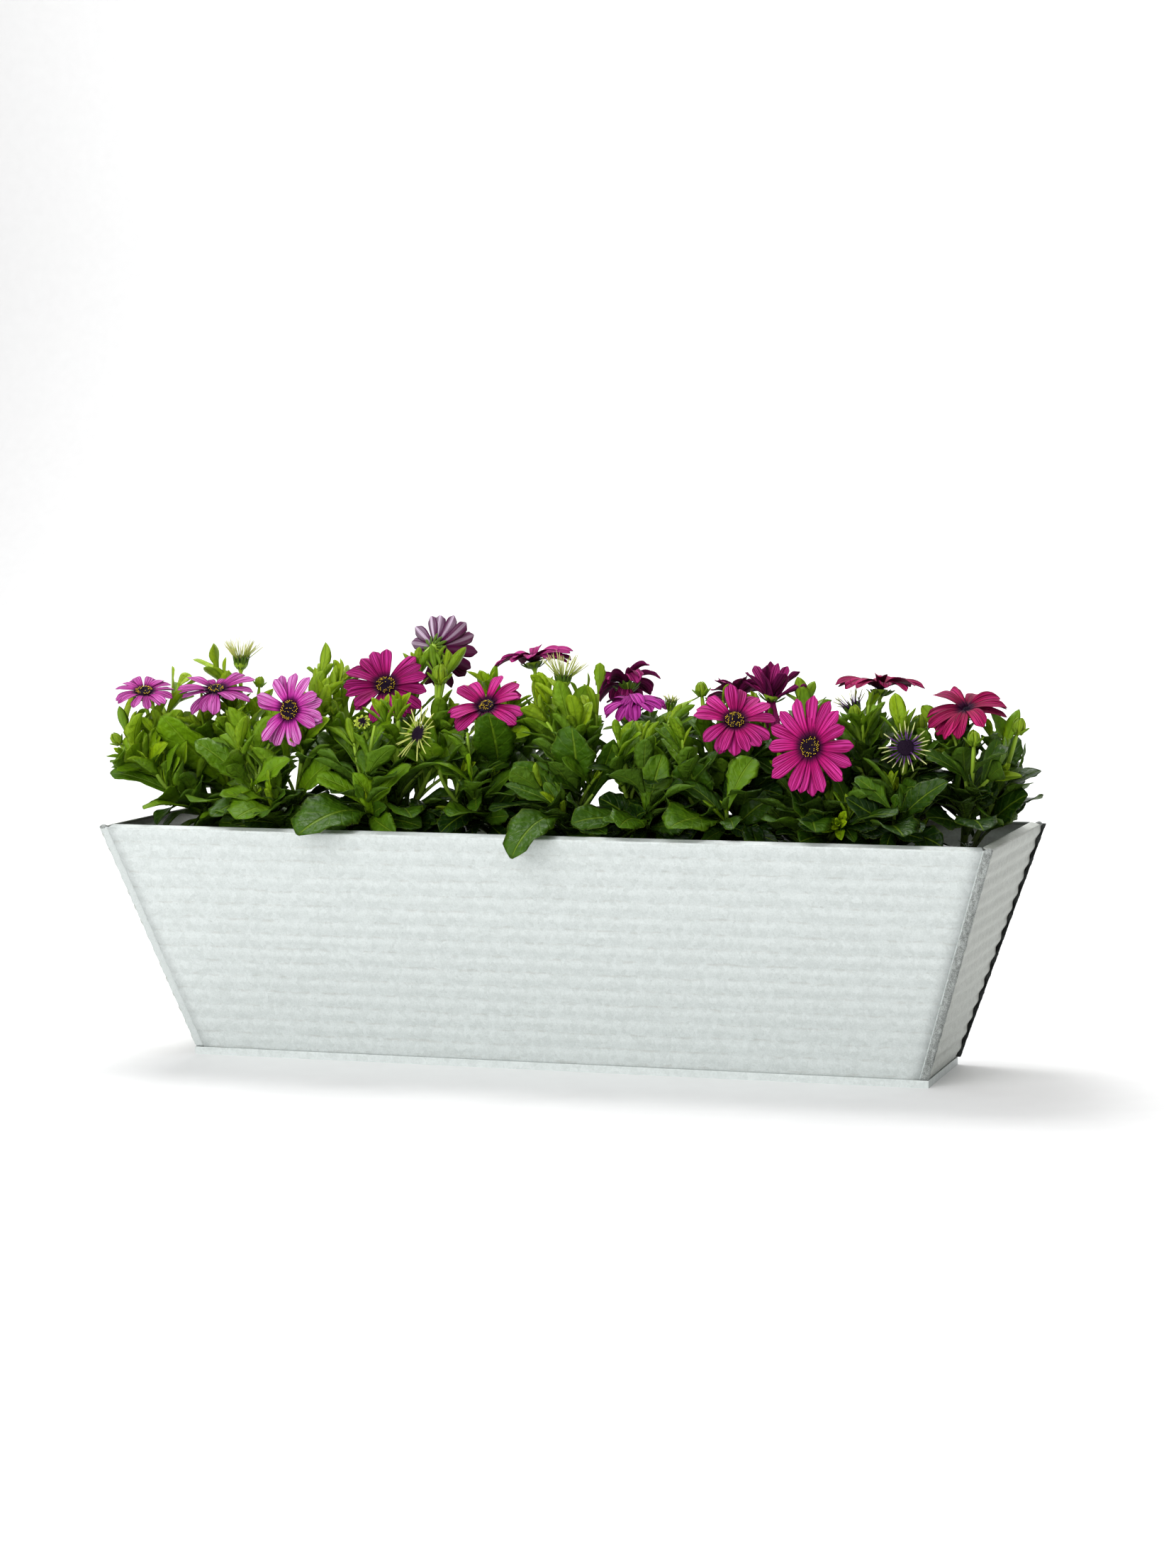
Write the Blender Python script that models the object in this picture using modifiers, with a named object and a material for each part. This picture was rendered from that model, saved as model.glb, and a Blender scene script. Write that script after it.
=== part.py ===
"""Osteospermum in a galvanised window box.

A tapered box of ribbed sheet zinc holds potting soil and ten osteospermum plants. The plants
carry fifteen open daisies, seven spent heads and eleven buds. Metres, +Z up. The origin is the
centre of the box's underside, +X runs along the box and -Y faces the viewer.
"""

import math
import random
from collections import namedtuple

import bmesh
import bpy
import numpy as np
from mathutils import Matrix, Vector

# The box, outside sizes
TOP_LENGTH = 0.610
TOP_WIDTH = 0.190
BASE_LENGTH = 0.514
BASE_WIDTH = 0.100
HEIGHT = 0.160
SHEET = 0.0008
HEM_HEIGHT = 0.005
LIP = 0.0065
RIB_COUNT = 15
RIB_DEPTH = 0.0007
SEAM_WIDTH = 0.005
SEAM_PROUD = 0.0010
GAP = 0.0003
MITRE = 0.0006

# The soil and the crowns that stand in it
SOIL_TOP = 0.136
SOIL_RELIEF = 0.0022
CROWN_RADIUS = 0.0034
CROWN_DEPTH = 0.030
CROWN_ROOM = 0.0004

# The plants
STEM_RADIUS = 0.0019
STALK_RADIUS = 0.0013
STEM_STEPS = 3
LEAF_THICK = 0.0012
LEAVES_FROM = 0.16
LEAVES_TO = 0.72
LEAF_FOLD = 0.25
RAY_THICK = 0.0011
RAY_WIDEST = 0.0110
RAY_FILL = 0.94
CORE_RADIUS = 0.0062
SPENT_CORE = 0.0048
SMALL_SPENT_CORE = 0.0035
SMALL_HEAD = 0.020
THREAD_THICK = 0.0010
CORE_THICK = 0.0018
CALYX_DEPTH = 0.0060
HEAD_SEAT = CALYX_DEPTH / 2 + GAP
DISC_RADIUS = 0.0056
DISC_HEIGHT = 0.0030
CLEAR_OTHERS = 0.0038
CLEAR_OWN = 0.0020
CLEAR_SOIL = 0.0020
CLEAR_WALL = 0.0040
CLEAR_RIM = 0.0055
GOLDEN_ANGLE = math.radians(137.5)
SEED = 7

# The planes that the four walls lie in start at the top of the base's hem.
WALL_FOOT = SHEET + GAP
FRONT_SLOPE = (TOP_WIDTH / 2 - (BASE_WIDTH / 2 - WALL_FOOT)) / (HEIGHT - HEM_HEIGHT)
END_SLOPE = (TOP_LENGTH / 2 - (BASE_LENGTH / 2 - WALL_FOOT)) / (HEIGHT - HEM_HEIGHT)

UP = Vector((0, 0, 1))

# A shoot rises from its plant's crown to tip, and ends facing that way. across is the
# diameter of a bloom or head, and leaves is how many leaves it carries in this model.
Shoot = namedtuple("Shoot", "kind tip facing across leaves petals", defaults=(None,))
# A bloom's petals leave the disc at lift degrees and bend back by droop degrees.
Petals = namedtuple("Petals", "count lift droop colour")
# A large leaf that the eye picks out: the shoot that bears it, how far up, its tip, the way its
# upper face looks, its width and how far it bends.
Leaf = namedtuple("Leaf", "shoot rise tip face width bend")


def bloom(tip, facing, across, leaves, count, lift, droop, colour):
    """A shoot with an open flower."""
    return Shoot("bloom", tip, facing, across, leaves, Petals(count, lift, droop, colour))


def plants():
    """The ten plants: crown (x, y), shoots and large leaves."""
    return {
        "plant_01": (
            (-0.243, 0.008),
            [
                bloom((-0.314, 0.000, 0.243), (0.12, -0.41, 0.90), 0.045, 1, 14, 10, 30, "orchid"),
                bloom((-0.267, 0.018, 0.244), (0.09, -0.37, 0.92), 0.058, 1, 13, 12, 28, "orchid"),
                Shoot("spent", (-0.264, 0.056, 0.262), (0.05, -0.05, 1.00), 0.030, 2),
                Shoot("bud", (-0.246, 0.046, 0.248), (0.10, 0.00, 1.00), 0.007, 2),
                Shoot("bud", (-0.322, -0.024, 0.211), (-0.50, -0.30, 0.80), 0.008, 2),
                Shoot("leafy", (-0.292, -0.034, 0.196), (-0.30, -0.10, 1.00), 0, 4),
            ],
            [
                Leaf(1, 0.30, (-0.283, -0.040, 0.233), (0.0, -1.0, 0.15), 0.021, 10),
                Leaf(5, 0.20, (-0.277, -0.086, 0.172), (-0.2, -0.5, 0.9), 0.012, 40),
                Leaf(0, 0.10, (-0.318, -0.068, 0.170), (-0.2, -0.4, 1.0), 0.012, 50),
                Leaf(5, 0.50, (-0.325, -0.035, 0.192), (-0.3, -0.4, 0.8), 0.014, 45),
                Leaf(1, 0.10, (-0.250, -0.068, 0.176), (0.1, -0.6, 0.8), 0.019, 40),
            ],
        ),
        "plant_02": (
            (-0.192, -0.030),
            [
                bloom((-0.182, -0.050, 0.238), (-0.19, -0.95, 0.22), 0.056, 1, 15, 10, 25, "orchid"),
                Shoot("leafy", (-0.223, -0.048, 0.212), (-0.20, -0.10, 1.00), 0, 5),
                Shoot("leafy", (-0.194, -0.062, 0.180), (0.00, -0.25, 1.00), 0, 3),
            ],
            [
                Leaf(2, 0.80, (-0.206, -0.096, 0.168), (-0.1, -0.8, 0.6), 0.023, 45),
                Leaf(2, 0.50, (-0.229, -0.082, 0.172), (-0.2, -0.5, 0.9), 0.016, 40),
                Leaf(1, 0.50, (-0.250, -0.060, 0.217), (0.2, -0.8, 0.6), 0.014, 25),
                Leaf(0, 0.22, (-0.150, -0.060, 0.205), (0.2, -0.8, 0.7), 0.018, 35),
            ],
        ),
        "plant_03": (
            (-0.126, 0.004),
            [
                bloom((-0.133, 0.000, 0.251), (0.20, -0.75, 0.62), 0.060, 1, 15, 12, 25, "crimson"),
                bloom((-0.110, 0.034, 0.278), (0.17, 0.96, -0.06), 0.052, 1, 15, 22, 10, "pale"),
                Shoot("bud", (-0.163, -0.024, 0.234), (-0.10, -0.20, 1.00), 0.010, 2),
                Shoot("bud", (-0.094, 0.000, 0.255), (0.10, -0.20, 1.00), 0.012, 2),
                Shoot("spent", (-0.134, -0.042, 0.228), (0.05, -0.75, 0.65), 0.014, 2),
                Shoot("spent", (-0.088, -0.052, 0.223), (-0.45, -0.80, 0.40), 0.036, 2),
                Shoot("leafy", (-0.167, 0.004, 0.254), (-0.05, 0.00, 1.00), 0, 4),
                Shoot("leafy", (-0.112, -0.034, 0.232), (0.10, -0.10, 1.00), 0, 4),
                Shoot("leafy", (-0.126, -0.062, 0.178), (0.00, -0.40, 0.90), 0, 3),
            ],
            [
                Leaf(8, 0.60, (-0.155, -0.112, 0.160), (-0.2, -0.6, 0.8), 0.029, 75),
                Leaf(2, 0.45, (-0.181, -0.070, 0.180), (-0.2, -0.3, 0.9), 0.016, 30),
                Leaf(7, 0.35, (-0.072, -0.058, 0.205), (0.2, -0.4, 0.9), 0.017, 45),
                Leaf(5, 0.18, (-0.086, -0.080, 0.170), (0.1, -0.5, 0.9), 0.017, 50),
            ],
        ),
        "plant_04": (
            (-0.050, 0.008),
            [
                bloom((-0.056, -0.010, 0.238), (-0.06, -0.67, 0.74), 0.056, 1, 12, 14, 28, "magenta"),
                bloom((-0.039, 0.040, 0.266), (-0.15, -0.08, 0.98), 0.058, 1, 13, 24, 40, "crimson"),
                Shoot("leafy", (-0.083, -0.034, 0.200), (-0.10, -0.20, 1.00), 0, 4),
                Shoot("leafy", (-0.056, -0.044, 0.192), (0.00, -0.20, 1.00), 0, 4),
                Shoot("leafy", (-0.066, 0.052, 0.230), (-0.10, 0.10, 1.00), 0, 4),
            ],
            [
                Leaf(0, 0.45, (-0.039, -0.060, 0.240), (0.2, -0.95, 0.1), 0.021, 10),
                Leaf(3, 0.25, (-0.091, -0.070, 0.176), (-0.1, -0.4, 0.9), 0.014, 30),
                Leaf(3, 0.10, (-0.058, -0.084, 0.172), (0.0, -0.6, 0.8), 0.018, 50),
                Leaf(1, 0.20, (-0.078, 0.078, 0.190), (-0.2, 0.6, 0.8), 0.022, 45),
            ],
        ),
        "plant_05": (
            (0.012, -0.028),
            [
                Shoot("leafy", (0.014, -0.034, 0.228), (0.00, -0.05, 1.00), 0, 5),
                Shoot("spent", (-0.007, 0.004, 0.255), (0.05, -0.05, 1.00), 0.034, 2),
                Shoot("leafy", (0.020, -0.004, 0.250), (0.05, 0.00, 1.00), 0, 4),
                Shoot("leafy", (0.014, -0.064, 0.180), (0.00, -0.40, 0.90), 0, 3),
            ],
            [
                Leaf(3, 0.60, (-0.005, -0.116, 0.149), (-0.2, -0.8, 0.6), 0.021, 90),
                Leaf(0, 0.45, (0.019, -0.060, 0.232), (0.0, -1.0, 0.15), 0.022, 15),
                Leaf(0, 0.30, (-0.009, -0.050, 0.240), (-0.9, -0.4, 0.2), 0.010, -20),
                Leaf(0, 0.25, (0.045, -0.050, 0.223), (0.6, -0.6, 0.5), 0.010, -25),
                Leaf(0, 0.15, (-0.021, -0.060, 0.207), (-0.3, -0.8, 0.6), 0.019, 25),
            ],
        ),
        "plant_06": (
            (0.052, 0.010),
            [
                bloom((0.025, 0.052, 0.250), (-0.30, 0.42, 0.85), 0.046, 1, 11, 42, 70, "crimson"),
                bloom((0.042, 0.008, 0.239), (0.02, -0.20, 0.98), 0.046, 1, 12, 14, 55, "orchid"),
                Shoot("spent", (0.060, 0.034, 0.239), (0.20, -0.20, 0.95), 0.014, 2),
                Shoot("bud", (0.070, 0.000, 0.230), (0.20, -0.10, 1.00), 0.008, 2),
                Shoot("bud", (0.068, -0.042, 0.217), (0.10, -0.20, 1.00), 0.008, 3),
                Shoot("leafy", (0.046, -0.046, 0.212), (-0.10, -0.10, 1.00), 0, 4),
                Shoot("leafy", (0.070, -0.060, 0.176), (0.00, -0.40, 0.90), 0, 3),
            ],
            [
                Leaf(6, 0.70, (0.027, -0.088, 0.170), (0.0, -0.6, 0.8), 0.017, 35),
                Leaf(5, 0.20, (0.026, -0.064, 0.190), (-0.2, -0.5, 0.9), 0.014, 45),
                Leaf(6, 0.60, (0.062, -0.096, 0.169), (0.1, -0.6, 0.8), 0.018, 50),
            ],
        ),
        "plant_07": (
            (0.114, 0.002),
            [
                bloom((0.120, -0.022, 0.232), (0.21, -0.69, 0.69), 0.057, 1, 14, 12, 25, "magenta"),
                bloom((0.104, 0.046, 0.243), (-0.10, 0.45, 0.88), 0.048, 1, 10, 25, 40, "crimson"),
                bloom((0.132, 0.030, 0.246), (0.20, -0.10, 0.97), 0.056, 1, 9, 70, 15, "crimson"),
                Shoot("bud", (0.088, 0.014, 0.248), (-0.10, 0.00, 1.00), 0.009, 2),
                Shoot("leafy", (0.092, -0.044, 0.194), (-0.20, -0.20, 1.00), 0, 4),
                Shoot("leafy", (0.124, -0.058, 0.178), (0.10, -0.40, 0.90), 0, 3),
            ],
            [
                Leaf(5, 0.60, (0.095, -0.096, 0.169), (-0.1, -0.8, 0.6), 0.023, 50),
                Leaf(4, 0.40, (0.097, -0.058, 0.211), (0.1, -1.0, 0.15), 0.020, 12),
                Leaf(0, 0.15, (0.140, -0.070, 0.192), (0.2, -0.5, 0.9), 0.018, 40),
                Leaf(2, 0.20, (0.128, 0.082, 0.188), (0.1, 0.6, 0.8), 0.022, 45),
            ],
        ),
        "plant_08": (
            (0.172, -0.022),
            [
                bloom((0.183, -0.062, 0.221), (-0.27, -0.94, 0.18), 0.066, 1, 16, 12, 18, "magenta"),
                Shoot("leafy", (0.160, 0.006, 0.212), (0.00, 0.00, 1.00), 0, 4),
                Shoot("leafy", (0.206, -0.056, 0.182), (0.20, -0.20, 1.00), 0, 3),
            ],
            [
                Leaf(0, 0.25, (0.192, -0.094, 0.169), (0.2, -0.8, 0.6), 0.018, 45),
                Leaf(2, 0.60, (0.243, -0.084, 0.181), (0.1, -0.6, 0.8), 0.016, 30),
                Leaf(0, 0.10, (0.160, -0.084, 0.174), (-0.2, -0.7, 0.8), 0.018, 45),
            ],
        ),
        "plant_09": (
            (0.222, 0.006),
            [
                bloom((0.211, 0.010, 0.252), (0.05, 0.02, 1.00), 0.062, 1, 14, 28, 45, "crimson"),
                Shoot("spent", (0.240, -0.044, 0.220), (0.15, -0.96, 0.25), 0.036, 3),
                Shoot("spent", (0.192, 0.020, 0.238), (-0.35, -0.25, 0.90), 0.028, 2),
                Shoot("bud", (0.202, -0.022, 0.236), (-0.15, -0.10, 1.00), 0.009, 2),
                Shoot("bud", (0.240, -0.006, 0.226), (0.10, -0.10, 1.00), 0.012, 2),
                Shoot("leafy", (0.182, 0.048, 0.220), (-0.10, 0.10, 1.00), 0, 4),
                Shoot("leafy", (0.236, -0.062, 0.180), (0.10, -0.40, 0.90), 0, 3),
            ],
            [
                Leaf(1, 0.12, (0.214, -0.070, 0.196), (0.0, -0.6, 0.8), 0.018, 40),
                Leaf(6, 0.50, (0.250, -0.098, 0.168), (0.1, -0.7, 0.7), 0.022, 50),
                Leaf(5, 0.20, (0.196, 0.080, 0.188), (0.1, 0.6, 0.8), 0.022, 45),
            ],
        ),
        "plant_10": (
            (0.268, 0.004),
            [
                bloom((0.273, -0.010, 0.240), (0.03, -0.55, 0.83), 0.058, 1, 11, 10, 42, "crimson"),
                Shoot("bud", (0.304, 0.000, 0.227), (0.25, -0.10, 1.00), 0.010, 3),
                Shoot("bud", (0.283, -0.038, 0.222), (0.05, -0.20, 1.00), 0.009, 3),
                Shoot("leafy", (0.300, 0.026, 0.200), (0.30, 0.10, 1.00), 0, 4),
            ],
            [
                Leaf(3, 0.20, (0.314, -0.012, 0.189), (0.1, -0.7, 0.7), 0.018, 20),
                Leaf(2, 0.20, (0.299, -0.088, 0.172), (0.3, -0.6, 0.7), 0.019, 45),
                Leaf(1, 0.50, (0.318, 0.000, 0.204), (0.2, -0.3, 0.9), 0.009, 50),
                Leaf(3, 0.12, (0.298, 0.060, 0.180), (0.3, 0.5, 0.8), 0.018, 40),
            ],
        ),
    }


def unit(v):
    return Vector(v).normalized()


def across_of(axis):
    """Two unit vectors square to axis and to each other."""
    axis = unit(axis)
    side = axis.cross(UP if abs(axis.z) < 0.9 else Vector((0, 1, 0))).normalized()
    return side, axis.cross(side)


def stem_path(crown, tip, facing):
    """Points on a stem: up and out of the crown, then round to the way its end faces."""
    start = Vector((crown[0], crown[1], SOIL_TOP + 0.006))
    end = Vector(tip)
    rise = (end - start).length
    lift = start + Vector(((end.x - start.x) * 0.50, (end.y - start.y) * 0.50, rise * 0.34))
    neck = end - unit(facing) * rise * 0.28
    points = []
    for i in range(STEM_STEPS + 1):
        t = i / STEM_STEPS
        u = 1 - t
        points.append(u**3 * start + 3 * u * u * t * lift + 3 * u * t * t * neck + t**3 * end)
    return points


def along(points, share):
    """The point and the direction at a share of the way along a path."""
    place = min(max(share, 0), 0.999) * (len(points) - 1)
    i = int(place)
    step = points[i + 1] - points[i]
    return points[i] + step * (place - i), step.normalized()


def arc(root, tip, face, bend, share):
    """Point, heading, side and upper-face direction at a share of an arched blade's length.

    The blade runs from root to tip, and turns by bend degrees away from the way it faces.
    """
    chord = Vector(tip) - Vector(root)
    ahead = chord.normalized()
    side = ahead.cross(Vector(face)).normalized()
    up = side.cross(ahead).normalized()
    turn = math.radians(bend if abs(bend) > 1 else 1)
    radius = chord.length / (2 * math.sin(turn / 2))
    start = turn / 2
    angle = start - turn * share
    x = radius * (math.sin(start) - math.sin(angle))
    y = radius * (math.cos(angle) - math.cos(start))
    heading = ahead * math.cos(angle) + up * math.sin(angle)
    return Vector(root) + ahead * x + up * y, heading, side, side.cross(heading).normalized()


# Half-widths along a blade, as (share of length, share of half-width). One that reaches the whole
# length ends blunt, and any other ends in a point.
LARGE_LEAF = [(0.0, 0.07), (0.58, 1.0), (0.84, 0.74)]
LEAF = [(0.0, 0.10), (0.58, 1.0), (0.84, 0.72)]
SMALL_LEAF = [(0.0, 0.18), (0.60, 1.0)]
RAY = [(0.0, 0.18), (0.70, 1.0), (1.0, 0.56)]
THREAD = [(0.0, 1.0)]


def blade(root, tip, face, width, bend, outline, thick, fold=0.0):
    """A closed, thin blade: a loft through flat sections, folded up by fold along a midrib.

    A blade with no fold is flat above and keeled below. Both faces are split alike.
    """
    mesh = bmesh.new()
    rings = []
    for share, half in outline:
        point, _, side, up = arc(root, tip, face, bend, share)
        reach = side * half * width / 2
        edge = up * fold * half * width / 2
        ring = [point - reach + edge, point + reach + edge, point - up * thick * (0.5 if fold else 0.8)]
        if fold:
            ring.append(point + up * thick * 0.5)
        rings.append([mesh.verts.new(p) for p in ring])
    for a, b in zip(rings, rings[1:]):
        for mid in range(2, len(a)):
            for rim in (0, 1):
                mesh.faces.new((a[rim], a[mid], b[mid]))
                mesh.faces.new((a[rim], b[mid], b[rim]))
        if not fold:
            mesh.faces.new((a[0], a[1], b[1]))
            mesh.faces.new((a[0], b[1], b[0]))
    loops = [rings[0]]
    if outline[-1][0] < 1:
        end = mesh.verts.new(arc(root, tip, face, bend, 1.0)[0])
        last = rings[-1]
        order = (0, 2, 1, 3) if fold else (0, 2, 1)
        for j, _ in enumerate(order):
            mesh.faces.new((last[order[j]], last[order[(j + 1) % len(order)]], end))
    else:
        loops.append(rings[-1])
    for ring in loops:
        for mid in range(2, len(ring)):
            if fold:
                mesh.faces.new((ring[mid - 2], ring[2], ring[3]))
            else:
                mesh.faces.new(ring)
    bmesh.ops.recalc_face_normals(mesh, faces=mesh.faces)
    return mesh


def blade_points(root, tip, face, width, bend, outline, fold=0.25, steps=9):
    """Points spread over a blade, to test what it comes near."""
    shares = [s for s, _ in outline] + [1.0]
    halves = [h for _, h in outline] + [0.05]
    found = []
    for i in range(1, steps + 1):
        share = i / steps
        half = float(np.interp(share, shares, halves)) * width / 2
        point, _, side, up = arc(root, tip, face, bend, share)
        for across in (-1, -0.5, 0, 0.5, 1):
            found.append(point + side * half * across + up * fold * half * abs(across))
    return np.array(found)


def wall_depth(point):
    """How far a point lies outside the walls' outer planes, negative inside the box."""
    x, y, z = (float(c) for c in point)
    found = []
    for across, slope, foot in (
        (abs(y), FRONT_SLOPE, BASE_WIDTH / 2 - WALL_FOOT),
        (abs(x), END_SLOPE, BASE_LENGTH / 2 - WALL_FOOT),
    ):
        found.append((across - foot - slope * (z - HEM_HEIGHT)) / math.hypot(1, slope))
    return max(found)


def clear_of_box(points):
    """True where a blade stays off the soil, and passes over the rim and not through a wall."""
    for point in points:
        depth = wall_depth(point)
        z = float(point[2])
        if depth < 0 and z < SOIL_TOP + SOIL_RELIEF + CLEAR_SOIL:
            return False
        if -LIP - CLEAR_WALL < depth < CLEAR_WALL and z < HEIGHT + CLEAR_RIM:
            return False
    return True


def nearest(points, others):
    """The least distance between two sets of points."""
    gaps = points[:, None, :] - others[None, :, :]
    return float(np.sqrt((gaps**2).sum(2).min()))


def ray_blades(shoot, seed):
    """Root, tip, face, width and bend of each petal of a bloom."""
    petals = shoot.petals
    draw = random.Random(seed)
    axis = unit(shoot.facing)
    side, other = across_of(axis)
    base = Vector(shoot.tip) + axis * (HEAD_SEAT + CORE_THICK / 2)
    root_radius = CORE_RADIUS * 0.80
    reach = shoot.across / 2 - root_radius
    width = 2 * math.pi * (root_radius + reach * RAY[1][0]) / petals.count * RAY_FILL
    blades = []
    for i in range(petals.count):
        turn = 2 * math.pi * (i + draw.uniform(-0.03, 0.03)) / petals.count
        out = side * math.cos(turn) + other * math.sin(turn)
        lift = math.radians(petals.lift + draw.uniform(-4, 4))
        bend = petals.droop + draw.uniform(-6, 6)
        chord = lift - math.radians(bend) / 2
        length = reach * draw.uniform(0.95, 1.03)
        root = base + out * root_radius
        tip = root + (out * math.cos(chord) + axis * math.sin(chord)) * length
        blades.append((root, tip, axis, min(width, RAY_WIDEST), bend))
    return blades


def thread_blades(shoot, seed):
    """Root, tip, face, width and bend of each withered, rolled petal of a spent head."""
    draw = random.Random(seed)
    axis = unit(shoot.facing)
    side, other = across_of(axis)
    upright = axis.z > 0.9
    small = shoot.across < SMALL_HEAD
    count = 9 if small else 13
    radius = (SMALL_SPENT_CORE if small else SPENT_CORE) * 0.87
    base = Vector(shoot.tip) + axis * (HEAD_SEAT + CORE_THICK / 2)
    blades = []
    for i in range(count):
        turn = 2 * math.pi * (i + draw.uniform(-0.1, 0.1)) / count
        out = side * math.cos(turn) + other * math.sin(turn)
        lift = math.radians(draw.uniform(36, 68) if upright else draw.uniform(0, 22))
        length = (shoot.across / 2 - radius) * draw.uniform(0.85, 1.0)
        if upright:
            length *= 1.35
        root = base + out * radius * 0.8
        tip = root + (out * math.cos(lift) + axis * math.sin(lift)) * length
        blades.append((root, tip, axis, 0.0013 if upright else 0.0020, draw.uniform(-10, 25)))
    return blades


def leaf_slots(shoot, path, seed):
    """The leaves that a shoot would like to bear: root, heading, lean and length, low ones first."""
    draw = random.Random(seed)
    start = draw.uniform(0, 2 * math.pi)
    low, top = LEAVES_FROM, 1.0 if shoot.kind == "leafy" else LEAVES_TO
    slots = []
    for i in range(shoot.leaves):
        share = low + (top - low) * (i + 0.5) / (shoot.leaves - (0.5 if shoot.kind == "leafy" else 0))
        root, heading = along(path, share)
        lean = 72 - 46 * share + draw.uniform(-8, 8)
        if share > 0.99:
            root -= heading * 0.002
            lean = 8
        length = (0.046 - 0.024 * share) * draw.uniform(0.85, 1.15)
        slots.append((share, root, heading, start + i * GOLDEN_ANGLE, lean, length))
    return slots


def try_leaf(slot, attempt):
    """The blade for a leaf slot. Each attempt turns, lifts or shortens it in a fixed order."""
    share, root, heading, turn, lean, length = slot
    turn += math.radians((0, 30, -30, 60, -60, 95, -95, 130, -130, 165)[attempt % 10])
    lean -= 14 * (attempt // 10)
    length *= 0.86 ** (attempt // 5)
    side, other = across_of(heading)
    out = side * math.cos(turn) + other * math.sin(turn)
    pitch = math.radians(lean)
    chord = heading * math.cos(pitch) + out * math.sin(pitch)
    face = (heading - chord * heading.dot(chord)).normalized()
    bend = 48 - 34 * share
    width = length * (0.40 - 0.08 * share)
    return root, root + chord * length, face, width, bend


def outline_of(length):
    if length > 0.036:
        return LARGE_LEAF
    return LEAF if length > 0.031 else SMALL_LEAF


def grow():
    """Places every stem, petal, thread and leaf, so that no two plants or heads cross.

    Returns, for each plant, its crown, its shoots with their paths, and its leaves.
    """
    taken = {}
    grown = {}
    blooms = {}
    seed = SEED
    for name, (crown, shoots, _) in plants().items():
        for i, shoot in enumerate(shoots):
            seed += 1
            if shoot.kind == "bloom":
                blades = ray_blades(shoot, seed)
                blooms[(name, i)] = blades
                shapes = [blade_points(*b, RAY, steps=6) for b in blades]
                taken[(name, i)] = np.vstack(shapes)
            elif shoot.kind == "spent":
                blades = thread_blades(shoot, seed)
                blooms[(name, i)] = blades
                shapes = [blade_points(*b, THREAD, steps=5) for b in blades]
                taken[(name, i)] = np.vstack(shapes)
        paths = [stem_path(crown, s.tip, s.facing) for s in shoots]
        grown[name] = {"crown": crown, "shoots": shoots, "paths": paths, "leaves": []}
        taken[name] = np.array([along(path, i / 30)[0] for path in paths for i in range(2, 30)])
    for name, (_, _, large) in plants().items():
        plant = grown[name]
        for leaf in large:
            root, _ = along(plant["paths"][leaf.shoot], leaf.rise)
            options = [(root, Vector(leaf.tip), Vector(leaf.face), leaf.width, leaf.bend)]
            keep_leaf(name, options, taken, plant, LARGE_LEAF)
    for name, (_, shoots, _) in plants().items():
        plant = grown[name]
        for i, shoot in enumerate(shoots):
            seed += 1
            for slot in leaf_slots(shoot, plant["paths"][i], seed):
                options = [try_leaf(slot, attempt) for attempt in range(30)]
                keep_leaf(name, options, taken, plant, outline_of(slot[5]))
    for name, plant in grown.items():
        plant["blooms"] = {i: b for (owner, i), b in blooms.items() if owner == name}
    return grown


def keep_leaf(name, options, taken, plant, outline):
    """Keeps the first option that is clear of the box, the other plants and every head."""
    others = np.vstack([points for key, points in taken.items() if key != name])
    own = taken[name]
    for option in options:
        points = blade_points(*option, outline)
        outer = points[10:]
        if not clear_of_box(points):
            continue
        if nearest(points, others) < CLEAR_OTHERS or nearest(outer, own) < CLEAR_OWN:
            continue
        plant["leaves"].append((*option, outline))
        taken[name] = np.vstack([own, points])
        return


def material(name, colour, rough, metallic=0.0):
    found = bpy.data.materials.get(name)
    if found:
        return found
    made = bpy.data.materials.new(name)
    made.use_nodes = True
    shader = made.node_tree.nodes["Principled BSDF"]
    shader.inputs["Base Color"].default_value = (*colour, 1)
    shader.inputs["Roughness"].default_value = rough
    shader.inputs["Metallic"].default_value = metallic
    made.diffuse_color = (*colour, 1)
    return made


def zinc():
    return material("galvanised zinc", (0.66, 0.69, 0.69), 0.50, 0.6)


def earth():
    return material("potting soil", (0.045, 0.030, 0.020), 0.95)


def green():
    return material("leaf green", (0.075, 0.22, 0.025), 0.42)


def petal(colour):
    """The petals' materials. The pale one is a bloom's underside."""
    colours = {
        "orchid": (0.62, 0.07, 0.42),
        "magenta": (0.56, 0.012, 0.22),
        "crimson": (0.28, 0.008, 0.10),
        "pale": (0.55, 0.33, 0.56),
    }
    return material(colour + " petal", colours[colour], 0.5)


def dark_disc():
    return material("dark disc", (0.05, 0.035, 0.045), 0.7)


def pale_thread():
    return material("withered petal", (0.72, 0.74, 0.33), 0.6)


def new_object(name, mesh, collection, surface):
    """Links a bmesh as a named object with its material, and frees the bmesh."""
    data = bpy.data.meshes.new(name)
    mesh.to_mesh(data)
    mesh.free()
    made = bpy.data.objects.new(name, data)
    collection.objects.link(made)
    if surface:
        data.materials.append(surface)
    smooth(data)
    return made


def smooth(data):
    """Shades a mesh smooth, apart from its folds."""
    data.shade_smooth()
    data.set_sharp_from_angle(angle=math.radians(35))


def new_collection(name, hidden=False):
    made = bpy.data.collections.new(name)
    bpy.context.scene.collection.children.link(made)
    made.hide_render = hidden
    return made


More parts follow.
